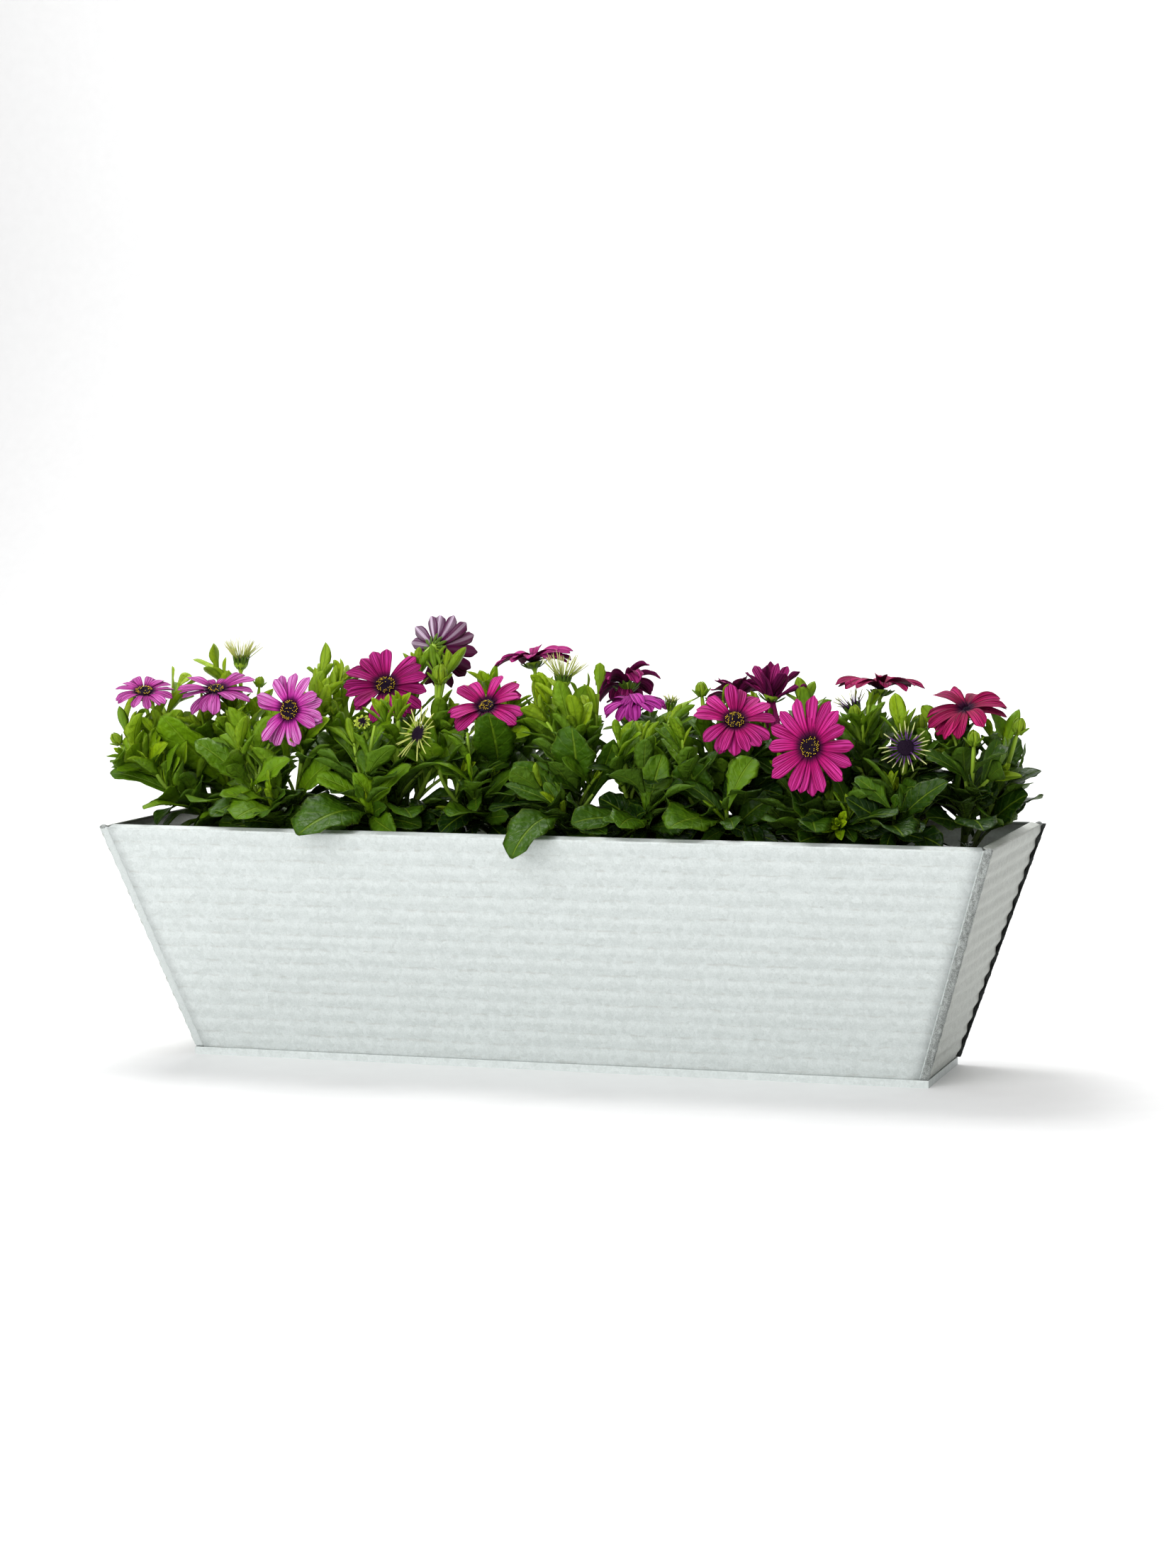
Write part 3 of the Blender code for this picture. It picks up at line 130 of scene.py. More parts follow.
# Each plant has its crown (x, y), its shoots and its large leaves.
PLANTS = {
    "plant_01": ((-0.243, 0.008), [
        bloom((-0.314, 0.0, 0.243), (0.12, -0.41, 0.9), 0.045, 1, 14, 10, 30, "orchid"),
        bloom((-0.267, 0.018, 0.244), (0.09, -0.37, 0.92), 0.058, 1, 13, 12, 28, "orchid"),
        Shoot("spent", (-0.264, 0.056, 0.262), (0.05, -0.05, 1.0), 0.03, 2),
        Shoot("bud", (-0.246, 0.046, 0.248), (0.1, 0.0, 1.0), 0.007, 2),
        Shoot("bud", (-0.322, -0.024, 0.211), (-0.5, -0.3, 0.8), 0.008, 2),
        Shoot("leafy", (-0.292, -0.034, 0.196), (-0.3, -0.1, 1.0), 0, 4),
    ], [
        Leaf(1, 0.3, (-0.283, -0.04, 0.233), (0.0, -1.0, 0.15), 0.021, 10),
        Leaf(5, 0.2, (-0.277, -0.086, 0.172), (-0.2, -0.5, 0.9), 0.012, 40),
        Leaf(0, 0.1, (-0.318, -0.068, 0.17), (-0.2, -0.4, 1.0), 0.012, 50),
        Leaf(5, 0.5, (-0.325, -0.035, 0.192), (-0.3, -0.4, 0.8), 0.014, 45),
        Leaf(1, 0.1, (-0.25, -0.068, 0.176), (0.1, -0.6, 0.8), 0.019, 40),
    ]),
    "plant_02": ((-0.192, -0.03), [
        bloom((-0.182, -0.05, 0.238), (-0.19, -0.95, 0.22), 0.056, 1, 15, 10, 25, "orchid"),
        Shoot("leafy", (-0.223, -0.048, 0.212), (-0.2, -0.1, 1.0), 0, 5),
        Shoot("leafy", (-0.194, -0.062, 0.18), (0.0, -0.25, 1.0), 0, 3),
    ], [
        Leaf(2, 0.8, (-0.206, -0.096, 0.168), (-0.1, -0.8, 0.6), 0.023, 45),
        Leaf(2, 0.5, (-0.229, -0.082, 0.172), (-0.2, -0.5, 0.9), 0.016, 40),
        Leaf(1, 0.5, (-0.25, -0.06, 0.217), (0.2, -0.8, 0.6), 0.014, 25),
        Leaf(0, 0.22, (-0.15, -0.06, 0.205), (0.2, -0.8, 0.7), 0.018, 35),
    ]),
    "plant_03": ((-0.126, 0.004), [
        bloom((-0.133, 0.0, 0.251), (0.2, -0.75, 0.62), 0.06, 1, 15, 12, 25, "crimson"),
        bloom((-0.11, 0.034, 0.278), (0.17, 0.96, -0.06), 0.052, 1, 15, 22, 10, "pale"),
        Shoot("bud", (-0.163, -0.024, 0.234), (-0.1, -0.2, 1.0), 0.01, 2),
        Shoot("bud", (-0.094, 0.0, 0.255), (0.1, -0.2, 1.0), 0.012, 2),
        Shoot("spent", (-0.134, -0.042, 0.228), (0.05, -0.75, 0.65), 0.014, 2),
        Shoot("spent", (-0.088, -0.052, 0.223), (-0.45, -0.8, 0.4), 0.036, 2),
        Shoot("leafy", (-0.167, 0.004, 0.254), (-0.05, 0.0, 1.0), 0, 4),
        Shoot("leafy", (-0.112, -0.034, 0.232), (0.1, -0.1, 1.0), 0, 4),
        Shoot("leafy", (-0.126, -0.062, 0.178), (0.0, -0.4, 0.9), 0, 3),
    ], [
        Leaf(8, 0.6, (-0.155, -0.112, 0.16), (-0.2, -0.6, 0.8), 0.029, 75),
        Leaf(2, 0.45, (-0.181, -0.07, 0.18), (-0.2, -0.3, 0.9), 0.016, 30),
        Leaf(7, 0.35, (-0.072, -0.058, 0.205), (0.2, -0.4, 0.9), 0.017, 45),
        Leaf(5, 0.18, (-0.086, -0.08, 0.17), (0.1, -0.5, 0.9), 0.017, 50),
    ]),
    "plant_04": ((-0.05, 0.008), [
        bloom((-0.056, -0.01, 0.238), (-0.06, -0.67, 0.74), 0.056, 1, 12, 14, 28, "magenta"),
        bloom((-0.039, 0.04, 0.266), (-0.15, -0.08, 0.98), 0.058, 1, 13, 24, 40, "crimson"),
        Shoot("leafy", (-0.083, -0.034, 0.2), (-0.1, -0.2, 1.0), 0, 4),
        Shoot("leafy", (-0.056, -0.044, 0.192), (0.0, -0.2, 1.0), 0, 4),
        Shoot("leafy", (-0.066, 0.052, 0.23), (-0.1, 0.1, 1.0), 0, 4),
    ], [
        Leaf(0, 0.45, (-0.039, -0.06, 0.24), (0.2, -0.95, 0.1), 0.021, 10),
        Leaf(3, 0.25, (-0.091, -0.07, 0.176), (-0.1, -0.4, 0.9), 0.014, 30),
        Leaf(3, 0.1, (-0.058, -0.084, 0.172), (0.0, -0.6, 0.8), 0.018, 50),
        Leaf(1, 0.2, (-0.078, 0.078, 0.19), (-0.2, 0.6, 0.8), 0.022, 45),
    ]),
    "plant_05": ((0.012, -0.028), [
        Shoot("leafy", (0.014, -0.034, 0.228), (0.0, -0.05, 1.0), 0, 5),
        Shoot("spent", (-0.007, 0.004, 0.255), (0.05, -0.05, 1.0), 0.034, 2),
        Shoot("leafy", (0.02, -0.004, 0.25), (0.05, 0.0, 1.0), 0, 4),
        Shoot("leafy", (0.014, -0.064, 0.18), (0.0, -0.4, 0.9), 0, 3),
    ], [
        Leaf(3, 0.6, (-0.005, -0.116, 0.149), (-0.2, -0.8, 0.6), 0.021, 90),
        Leaf(0, 0.45, (0.019, -0.06, 0.232), (0.0, -1.0, 0.15), 0.022, 15),
        Leaf(0, 0.3, (-0.009, -0.05, 0.24), (-0.9, -0.4, 0.2), 0.01, -20),
        Leaf(0, 0.25, (0.045, -0.05, 0.223), (0.6, -0.6, 0.5), 0.01, -25),
        Leaf(0, 0.15, (-0.021, -0.06, 0.207), (-0.3, -0.8, 0.6), 0.019, 25),
    ]),
    "plant_06": ((0.052, 0.01), [
        bloom((0.025, 0.052, 0.25), (-0.3, 0.42, 0.85), 0.046, 1, 11, 42, 70, "crimson"),
        bloom((0.042, 0.008, 0.239), (0.02, -0.2, 0.98), 0.046, 1, 12, 14, 55, "orchid"),
        Shoot("spent", (0.06, 0.034, 0.239), (0.2, -0.2, 0.95), 0.014, 2),
        Shoot("bud", (0.07, 0.0, 0.23), (0.2, -0.1, 1.0), 0.008, 2),
        Shoot("bud", (0.068, -0.042, 0.217), (0.1, -0.2, 1.0), 0.008, 3),
        Shoot("leafy", (0.046, -0.046, 0.212), (-0.1, -0.1, 1.0), 0, 4),
        Shoot("leafy", (0.07, -0.06, 0.176), (0.0, -0.4, 0.9), 0, 3),
    ], [
        Leaf(6, 0.7, (0.027, -0.088, 0.17), (0.0, -0.6, 0.8), 0.017, 35),
        Leaf(5, 0.2, (0.026, -0.064, 0.19), (-0.2, -0.5, 0.9), 0.014, 45),
        Leaf(6, 0.6, (0.062, -0.096, 0.169), (0.1, -0.6, 0.8), 0.018, 50),
    ]),
    "plant_07": ((0.114, 0.002), [
        bloom((0.12, -0.022, 0.232), (0.21, -0.69, 0.69), 0.057, 1, 14, 12, 25, "magenta"),
        bloom((0.104, 0.046, 0.243), (-0.1, 0.45, 0.88), 0.048, 1, 10, 25, 40, "crimson"),
        bloom((0.132, 0.03, 0.246), (0.2, -0.1, 0.97), 0.056, 1, 9, 70, 15, "crimson"),
        Shoot("bud", (0.088, 0.014, 0.248), (-0.1, 0.0, 1.0), 0.009, 2),
        Shoot("leafy", (0.092, -0.044, 0.194), (-0.2, -0.2, 1.0), 0, 4),
        Shoot("leafy", (0.124, -0.058, 0.178), (0.1, -0.4, 0.9), 0, 3),
    ], [
        Leaf(5, 0.6, (0.095, -0.096, 0.169), (-0.1, -0.8, 0.6), 0.023, 50),
        Leaf(4, 0.4, (0.097, -0.058, 0.211), (0.1, -1.0, 0.15), 0.02, 12),
        Leaf(0, 0.15, (0.14, -0.07, 0.192), (0.2, -0.5, 0.9), 0.018, 40),
        Leaf(2, 0.2, (0.128, 0.082, 0.188), (0.1, 0.6, 0.8), 0.022, 45),
    ]),
    "plant_08": ((0.172, -0.022), [
        bloom((0.183, -0.062, 0.221), (-0.27, -0.94, 0.18), 0.066, 1, 16, 12, 18, "magenta"),
        Shoot("leafy", (0.16, 0.006, 0.212), (0.0, 0.0, 1.0), 0, 4),
        Shoot("leafy", (0.206, -0.056, 0.182), (0.2, -0.2, 1.0), 0, 3),
    ], [
        Leaf(0, 0.25, (0.192, -0.094, 0.169), (0.2, -0.8, 0.6), 0.018, 45),
        Leaf(2, 0.6, (0.243, -0.084, 0.181), (0.1, -0.6, 0.8), 0.016, 30),
        Leaf(0, 0.1, (0.16, -0.084, 0.174), (-0.2, -0.7, 0.8), 0.018, 45),
    ]),
    "plant_09": ((0.222, 0.006), [
        bloom((0.211, 0.01, 0.252), (0.05, 0.02, 1.0), 0.062, 1, 14, 28, 45, "crimson"),
        Shoot("spent", (0.24, -0.044, 0.22), (0.15, -0.96, 0.25), 0.036, 3),
        Shoot("spent", (0.192, 0.02, 0.238), (-0.35, -0.25, 0.9), 0.028, 2),
        Shoot("bud", (0.202, -0.022, 0.236), (-0.15, -0.1, 1.0), 0.009, 2),
        Shoot("bud", (0.24, -0.006, 0.226), (0.1, -0.1, 1.0), 0.012, 2),
        Shoot("leafy", (0.182, 0.048, 0.22), (-0.1, 0.1, 1.0), 0, 4),
        Shoot("leafy", (0.236, -0.062, 0.18), (0.1, -0.4, 0.9), 0, 3),
    ], [
        Leaf(1, 0.12, (0.214, -0.07, 0.196), (0.0, -0.6, 0.8), 0.018, 40),
        Leaf(6, 0.5, (0.25, -0.098, 0.168), (0.1, -0.7, 0.7), 0.022, 50),
        Leaf(5, 0.2, (0.196, 0.08, 0.188), (0.1, 0.6, 0.8), 0.022, 45),
    ]),
    "plant_10": ((0.268, 0.004), [
        bloom((0.273, -0.01, 0.24), (0.03, -0.55, 0.83), 0.058, 1, 11, 10, 42, "crimson"),
        Shoot("bud", (0.304, 0.0, 0.227), (0.25, -0.1, 1.0), 0.01, 3),
        Shoot("bud", (0.283, -0.038, 0.222), (0.05, -0.2, 1.0), 0.009, 3),
        Shoot("leafy", (0.3, 0.026, 0.2), (0.3, 0.1, 1.0), 0, 4),
    ], [
        Leaf(3, 0.2, (0.314, -0.012, 0.189), (0.1, -0.7, 0.7), 0.018, 20),
        Leaf(2, 0.2, (0.299, -0.088, 0.172), (0.3, -0.6, 0.7), 0.019, 45),
        Leaf(1, 0.5, (0.318, 0.0, 0.204), (0.2, -0.3, 0.9), 0.009, 50),
        Leaf(3, 0.12, (0.298, 0.06, 0.18), (0.3, 0.5, 0.8), 0.018, 40),
    ]),
}


# %% [markdown]
# A stem is one cubic curve from the crown to its head, and a blade is an arc. Both are written as
# plain functions, so that the leaves know where their stem is before anything is drawn.

# %% Stems and arcs
def unit(v):
    return Vector(v).normalized()


def across_of(axis):
    """Two unit vectors square to axis and to each other."""
    axis = unit(axis)
    side = axis.cross(UP if abs(axis.z) < 0.9 else Vector((0, 1, 0))).normalized()
    return side, axis.cross(side)


def swung(a, b, angle):
    """The direction a turned towards b by an angle."""
    return a * math.cos(angle) + b * math.sin(angle)


def spokes(axis, count, stray, draw, start=0.0):
    """Directions round an axis, evenly spread but for a random share of the gap between them."""
    side, other = across_of(axis)
    for i in range(count):
        yield swung(side, other, 2 * math.pi * (i + start + draw.uniform(-stray, stray)) / count)


def stem_path(crown, tip, facing, steps=STEM_STEPS):
    """Points on a stem: up and out of the crown, then round to the way its end faces."""
    start = Vector((crown[0], crown[1], SOIL_TOP + 0.006))
    end = Vector(tip)
    rise = (end - start).length
    lift = start + Vector(((end.x - start.x) * 0.5, (end.y - start.y) * 0.5, rise * 0.34))
    neck = end - unit(facing) * rise * 0.28
    points = []
    for i in range(steps + 1):
        t = i / steps
        u = 1 - t
        points.append(u**3 * start + 3 * u * u * t * lift + 3 * u * t * t * neck + t**3 * end)
    return points


def along(points, share):
    """The point and the direction at a share of the way along a path."""
    place = min(max(share, 0), 0.999) * (len(points) - 1)
    i = int(place)
    step = points[i + 1] - points[i]
    return points[i] + step * (place - i), step.normalized()


def arc(root, tip, face, bend, share):
    """Point, heading, side and upper-face direction at a share of an arched blade's length.

    The blade runs from root to tip, and turns by bend degrees away from the way it faces.
    """
    chord = Vector(tip) - Vector(root)
    ahead = chord.normalized()
    side = ahead.cross(Vector(face)).normalized()
    up = side.cross(ahead).normalized()
    turn = math.radians(bend if abs(bend) > 1 else 1)
    radius = chord.length / (2 * math.sin(turn / 2))
    start = turn / 2
    angle = start - turn * share
    x = radius * (math.sin(start) - math.sin(angle))
    y = radius * (math.cos(angle) - math.cos(start))
    heading = swung(ahead, up, angle)
    return Vector(root) + ahead * x + up * y, heading, side, side.cross(heading).normalized()


# Half-widths along a blade, as (share of length, share of half-width). One that reaches the whole
# length ends blunt, and any other ends in a point.
LARGE_LEAF = [(0.0, 0.07), (0.58, 1.0), (0.84, 0.74)]
LEAF = [(0.0, 0.1), (0.58, 1.0), (0.84, 0.72)]
SMALL_LEAF = [(0.0, 0.18), (0.6, 1.0)]
RAY = [(0.0, 0.18), (0.7, 1.0), (1.0, 0.56)]
THREAD = [(0.0, 1.0)]


# %% [markdown]
# A leaf or petal is tested at a few rows of points spread over it, against the planes of the walls,
# the rim and the soil.

# %% Room beside the box
def blade_points(root, tip, face, width, bend, outline, steps=9):
    """Points spread over a blade, to test what it comes near."""
    shares = [s for s, _ in outline] + [1.0]
    halves = [h for _, h in outline] + [0.05]
    found = []
    for i in range(1, steps + 1):
        share = i / steps
        half = float(np.interp(share, shares, halves)) * width / 2
        point, _, side, up = arc(root, tip, face, bend, share)
        for across in (-1, -0.5, 0, 0.5, 1):
            found.append(point + side * half * across + up * LEAF_FOLD * half * abs(across))
    return np.array(found)


def wall_depth(point):
    """How far a point lies outside the walls' outer planes, negative inside the box."""
    x, y, z = (float(c) for c in point)
    found = []
    for across, slope, foot in (
        (abs(y), FRONT_SLOPE, BASE_WIDTH / 2 - WALL_FOOT),
        (abs(x), END_SLOPE, BASE_LENGTH / 2 - WALL_FOOT),
    ):
        found.append((across - foot - slope * (z - HEM_HEIGHT)) / math.hypot(1, slope))
    return max(found)


def clear_of_box(points):
    """True where a blade stays off the soil, and passes over the rim and not through a wall."""
    for point in points:
        depth = wall_depth(point)
        z = float(point[2])
        if depth < 0 and z < SOIL_TOP + SOIL_RELIEF + CLEAR_SOIL:
            return False
        if -LIP - CLEAR_WALL < depth < CLEAR_WALL and z < HEIGHT + CLEAR_RIM:
            return False
    return True


def nearest(points, others):
    """The least distance between two sets of points."""
    gaps = points[:, None, :] - others[None, :, :]
    return float(np.sqrt((gaps**2).sum(2).min()))


print("leaves pass over the rim at", HEIGHT + CLEAR_RIM)

# %% [markdown]
# The petals of a bloom stand in a ring, each lifted and bent a little differently. The rolled petals
# of a withered head do the same on a smaller ring, upright or splayed.

# %% Rings of petals
def ray_blades(shoot, seed):
    """Root, tip, face, width and bend of each petal of a bloom."""
    petals = shoot.petals
    draw = random.Random(seed)
    axis = unit(shoot.facing)
    base = Vector(shoot.tip) + axis * (HEAD_SEAT + CORE_THICK / 2)
    root_radius = CORE_RADIUS * 0.8
    reach = shoot.across / 2 - root_radius
    width = 2 * math.pi * (root_radius + reach * RAY[1][0]) / petals.count * RAY_FILL
    blades = []
    for out in spokes(axis, petals.count, 0.03, draw):
        lift = math.radians(petals.lift + draw.uniform(-4, 4))
        bend = petals.droop + draw.uniform(-6, 6)
        chord = lift - math.radians(bend) / 2
        length = reach * draw.uniform(0.95, 1.03)
        root = base + out * root_radius
        tip = root + swung(out, axis, chord) * length
        blades.append((root, tip, axis, min(width, RAY_WIDEST), bend))
    return blades


def thread_blades(shoot, seed):
    """Root, tip, face, width and bend of each withered, rolled petal of a spent head."""
    draw = random.Random(seed)
    axis = unit(shoot.facing)
    upright = axis.z > UPRIGHT
    small = shoot.across < SMALL_HEAD
    count = 9 if small else 13
    radius = (SMALL_SPENT_CORE if small else SPENT_CORE) * 0.87
    base = Vector(shoot.tip) + axis * (HEAD_SEAT + CORE_THICK / 2)
    blades = []
    for out in spokes(axis, count, 0.1, draw):
        lift = math.radians(draw.uniform(36, 68) if upright else draw.uniform(0, 22))
        length = (shoot.across / 2 - radius) * draw.uniform(0.85, 1.0)
        if upright:
            length *= 1.35
        root = base + out * radius * 0.8
        tip = root + swung(out, axis, lift) * length
        blades.append((root, tip, axis, 0.0013 if upright else 0.002, draw.uniform(-10, 25)))
    return blades


print("petals in the blooms:", sum(s.petals.count for p in PLANTS.values() for s in p[1] if s.petals))

# %% [markdown]
# Leaves on a real stem turn by the golden angle, so that each gets its share of light. A leaf that
# would touch a petal, the box or a neighbour is turned, lifted or shortened until it is free.

# %% Place the leaves that the CAD model has
def leaf_slots(shoot, path, seed):
    """The leaves that a shoot would like to bear: root, heading, lean and length, low ones first."""
    draw = random.Random(seed)
    start = draw.uniform(0, 2 * math.pi)
    low, top = LEAVES_FROM, 1.0 if shoot.kind == "leafy" else LEAVES_TO
    slots = []
    for i in range(shoot.leaves):
        share = low + (top - low) * (i + 0.5) / (shoot.leaves - (0.5 if shoot.kind == "leafy" else 0))
        root, heading = along(path, share)
        lean = 72 - 46 * share + draw.uniform(-8, 8)
        if share > 0.99:
            root -= heading * 0.002
            lean = 8
        length = (0.046 - 0.024 * share) * draw.uniform(0.85, 1.15)
        slots.append((share, root, heading, start + i * GOLDEN_ANGLE, lean, length))
    return slots


def try_leaf(slot, attempt):
    """The blade for a leaf slot. Each attempt turns, lifts or shortens it in a fixed order."""
    share, root, heading, turn, lean, length = slot
    turn += math.radians((0, 30, -30, 60, -60, 95, -95, 130, -130, 165)[attempt % 10])
    lean -= 14 * (attempt // 10)
    length *= 0.86 ** (attempt // 5)
    chord = swung(heading, swung(*across_of(heading), turn), math.radians(lean))
    face = (heading - chord * heading.dot(chord)).normalized()
    bend = 48 - 34 * share
    width = length * (0.4 - 0.08 * share)
    return root, root + chord * length, face, width, bend


def outline_of(length):
    if length > 0.036:
        return LARGE_LEAF
    return LEAF if length > 0.031 else SMALL_LEAF


def grow():
    """Places every stem, petal, thread and leaf, so that no two plants or heads cross.

    Returns, for each plant, its crown, its shoots with their paths, and its leaves.
    """
    taken = {}
    grown = {}
    seed = SEED
    for name, (crown, shoots, _) in PLANTS.items():
        blooms = {}
        for i, shoot in enumerate(shoots):
            seed += 1
            if shoot.kind == "bloom":
                blooms[i] = ray_blades(shoot, seed)
                taken[(name, i)] = np.vstack([blade_points(*b, RAY, steps=6) for b in blooms[i]])
            elif shoot.kind == "spent":
                blooms[i] = thread_blades(shoot, seed)
                taken[(name, i)] = np.vstack([blade_points(*b, THREAD, steps=5) for b in blooms[i]])
        paths = [stem_path(crown, s.tip, s.facing) for s in shoots]
        grown[name] = {"crown": crown, "shoots": shoots, "paths": paths, "leaves": [], "blooms": blooms}
        taken[name] = np.array([along(path, i / 30)[0] for path in paths for i in range(2, 30)])
    for name, (_, _, large) in PLANTS.items():
        plant = grown[name]
        for leaf in large:
            root, _ = along(plant["paths"][leaf.shoot], leaf.rise)
            options = [(root, Vector(leaf.tip), Vector(leaf.face), leaf.width, leaf.bend)]
            keep_leaf(name, options, taken, plant, LARGE_LEAF)
    for name, (_, shoots, _) in PLANTS.items():
        plant = grown[name]
        for i, shoot in enumerate(shoots):
            seed += 1
            for slot in leaf_slots(shoot, plant["paths"][i], seed):
                options = [try_leaf(slot, attempt) for attempt in range(30)]
                keep_leaf(name, options, taken, plant, outline_of(slot[5]))
    return grown


def keep_leaf(name, options, taken, plant, outline):
    """Keeps the first option that is clear of the box, the other plants and every head."""
    others = np.vstack([points for key, points in taken.items() if key != name])
    own = taken[name]
    for option in options:
        points = blade_points(*option, outline)
        outer = points[10:]
        if not clear_of_box(points):
            continue
        if nearest(points, others) < CLEAR_OTHERS or nearest(outer, own) < CLEAR_OWN:
            continue
        plant["leaves"].append((*option, outline))
        taken[name] = np.vstack([own, points])
        return


grown = grow()
placed = sum(len(plant["leaves"]) for plant in grown.values())
print("leaves shared with the CAD model:", placed)

# %% [markdown]
# The camera stands where the photographer stood: its place and lens come from fitting the box's
# corners. Only the lens, the place and the turn are set, so any other view can move it freely.

# %% The camera
LENS = 79.94
CAMERA_PLACE = Vector((0.69626, -2.2483, 0.38599))
AZIMUTH = math.radians(16.931)
ELEVATION = math.radians(4.802)
ROLL = math.radians(-0.164)


def add_object(name, data):
    """A new object in the scene."""
    made = bpy.data.objects.new(name, data)
    bpy.context.scene.collection.objects.link(made)
    return made


def aim():
    """The camera's right, up and back directions."""
    level = math.cos(ELEVATION)
    back = Vector((math.sin(AZIMUTH) * level, -math.cos(AZIMUTH) * level, math.sin(ELEVATION)))
    right = Vector((math.cos(AZIMUTH), math.sin(AZIMUTH), 0))
    right = swung(right, back.cross(right), ROLL)
    return right, back.cross(right), back


lens = bpy.data.cameras.new("camera")
lens.lens = LENS
camera = add_object("camera", lens)
camera.matrix_world = Matrix.Translation(CAMERA_PLACE) @ Matrix(aim()).transposed().to_4x4()
bpy.context.scene.camera = camera
print("camera:", [round(c, 3) for c in camera.location])

# %% [markdown]
# Node trees are drawn by hand in Blender's editor. In a script it pays to write one small helper,
# which adds a node, sets its inputs and links what comes from other nodes. What a node gives back is
# wrapped in a Field, and plain arithmetic on a Field adds the Math nodes for it.

# %% A helper that wires nodes
class Field:
    """A value that nodes work out. Arithmetic on it adds Math or Vector Math nodes to its tree."""

    def __init__(self, wire, socket):
        self.wire = wire
        self.socket = socket

    def work(self, operation, *others):
        if self.socket.type != "VECTOR":
            return self.wire.math(operation, self, *others)
        return self.wire.vector("SCALE" if operation == "MULTIPLY" else operation, self, *others)

    __add__ = partialmethod(work, "ADD")
    __sub__ = partialmethod(work, "SUBTRACT")
    __mul__ = partialmethod(work, "MULTIPLY")
    __truediv__ = partialmethod(work, "DIVIDE")
    __pow__ = partialmethod(work, "POWER")
    __abs__ = partialmethod(work, "ABSOLUTE")
    sine = partialmethod(work, "SINE")
    cosine = partialmethod(work, "COSINE")
    fraction = partialmethod(work, "FRACT")
    larger = partialmethod(work, "MAXIMUM")
    smaller = partialmethod(work, "MINIMUM")
    more_than = partialmethod(work, "GREATER_THAN")

    def __rsub__(self, number):
        return self.wire.math("SUBTRACT", number, self)

    def clamp(self):
        """The value kept between 0 and 1."""
        return self.larger(0.0).smaller(1.0)

    def smooth(self, start, end):
        """0 before start, 1 after end, and a smooth rise between them."""
        inputs = {"Value": self, "From Min": start, "From Max": end}
        return self.wire.out("ShaderNodeMapRange", inputs, interpolation_type="SMOOTHSTEP")

    def curve(self, stops):
        """The value read off a curve through stops, pairs of place and height."""
        made = self.wire.node("ShaderNodeFloatCurve", {"Value": self})
        points = made.mapping.curves[0].points
        for _ in stops[2:]:
            points.new(0.5, 0.5)
        for point, place in zip(points, stops):
            point.location = place
        made.mapping.update()
        return Field(self.wire, made.outputs[0])

    def into(self, node, name):
        """Links the value to an input of a node."""
        self.wire.put(node.inputs[name], self)


class Wiring:
    """Adds nodes to a tree, and sets or links their inputs."""

    def __init__(self, tree):
        self.tree = tree

    def put(self, socket, value):
        if isinstance(value, Field):
            value = value.socket
        if isinstance(value, bpy.types.NodeSocket):
            self.tree.links.new(value, socket)
        else:
            socket.default_value = value

    def node(self, kind, inputs=None, **settings):
        """A node with its settings. inputs maps socket names to values or to what other nodes give."""
        made = self.tree.nodes.new(kind)
        for name, value in settings.items():
            setattr(made, name, value)
        for name, value in (inputs or {}).items():
            self.put(next(s for s in made.inputs if s.enabled and s.name == name), value)
        return made

    def out(self, kind, inputs=None, **settings):
        """The first output of a new node."""
        made = self.node(kind, inputs, **settings)
        return Field(self, next(s for s in made.outputs if s.enabled))

    def worked_out(self, kind, operation, values):
        made = self.node(kind, operation=operation)
        for socket, value in zip([s for s in made.inputs if s.enabled], values):
            self.put(socket, value)
        return Field(self, next(s for s in made.outputs if s.enabled))

    def math(self, operation, *values):
        return self.worked_out("ShaderNodeMath", operation, values)

    def vector(self, operation, *values):
        return self.worked_out("ShaderNodeVectorMath", operation, values)

    def parts(self, vector):
        """The x, y and z of a vector."""
        return [Field(self, s) for s in self.node("ShaderNodeSeparateXYZ", {"Vector": vector}).outputs]

    def xyz(self, x, y, z):
        return self.out("ShaderNodeCombineXYZ", {"X": x, "Y": y, "Z": z})

    def position(self):
        return self.out("GeometryNodeInputPosition")

    def move(self, geometry, **place):
        """Geometry whose points go to Position, or move by Offset."""
        return self.out("GeometryNodeSetPosition", {"Geometry": geometry, **place})

    def read(self, label, kind="FLOAT"):
        """A number or vector that the points carry."""
        return self.out("GeometryNodeInputNamedAttribute", {"Name": label}, data_type=kind)

    def store(self, geometry, label, value):
        """Geometry whose points carry one more number."""
        inputs = {"Geometry": geometry, "Name": label, "Value": value}
        return self.out("GeometryNodeStoreNamedAttribute", inputs, data_type="FLOAT", domain="POINT")

    def join(self, parts):
        made = self.node("GeometryNodeJoinGeometry")
        for part in parts:
            self.put(made.inputs[0], part)
        return Field(self, made.outputs[0])


print("wiring helper ready")

# %% [markdown]
# A tree is run on an object by a modifier. Its inputs are set by their identifiers, because names
# may repeat. The result is then copied to a plain mesh, which any other program can read.

# %% Run a tree and keep the plain mesh
def new_tree(name, inputs):
    """The wiring of a new Geometry Nodes tree, and its inputs: a mesh, these numbers and a material."""
    tree = bpy.data.node_groups.new(name, "GeometryNodeTree")

    def add(label, kind, way="INPUT"):
        return tree.interface.new_socket(label, in_out=way, socket_type="NodeSocket" + kind)

    add("Mesh", "Geometry")
    for label, value in inputs.items():
        add(label, "Int" if isinstance(value, int) else "Float").default_value = value
    add("Material", "Material")
    add("Mesh", "Geometry", "OUTPUT")
    wire = Wiring(tree)
    return wire, {s.name: Field(wire, s) for s in wire.node("NodeGroupInput").outputs}


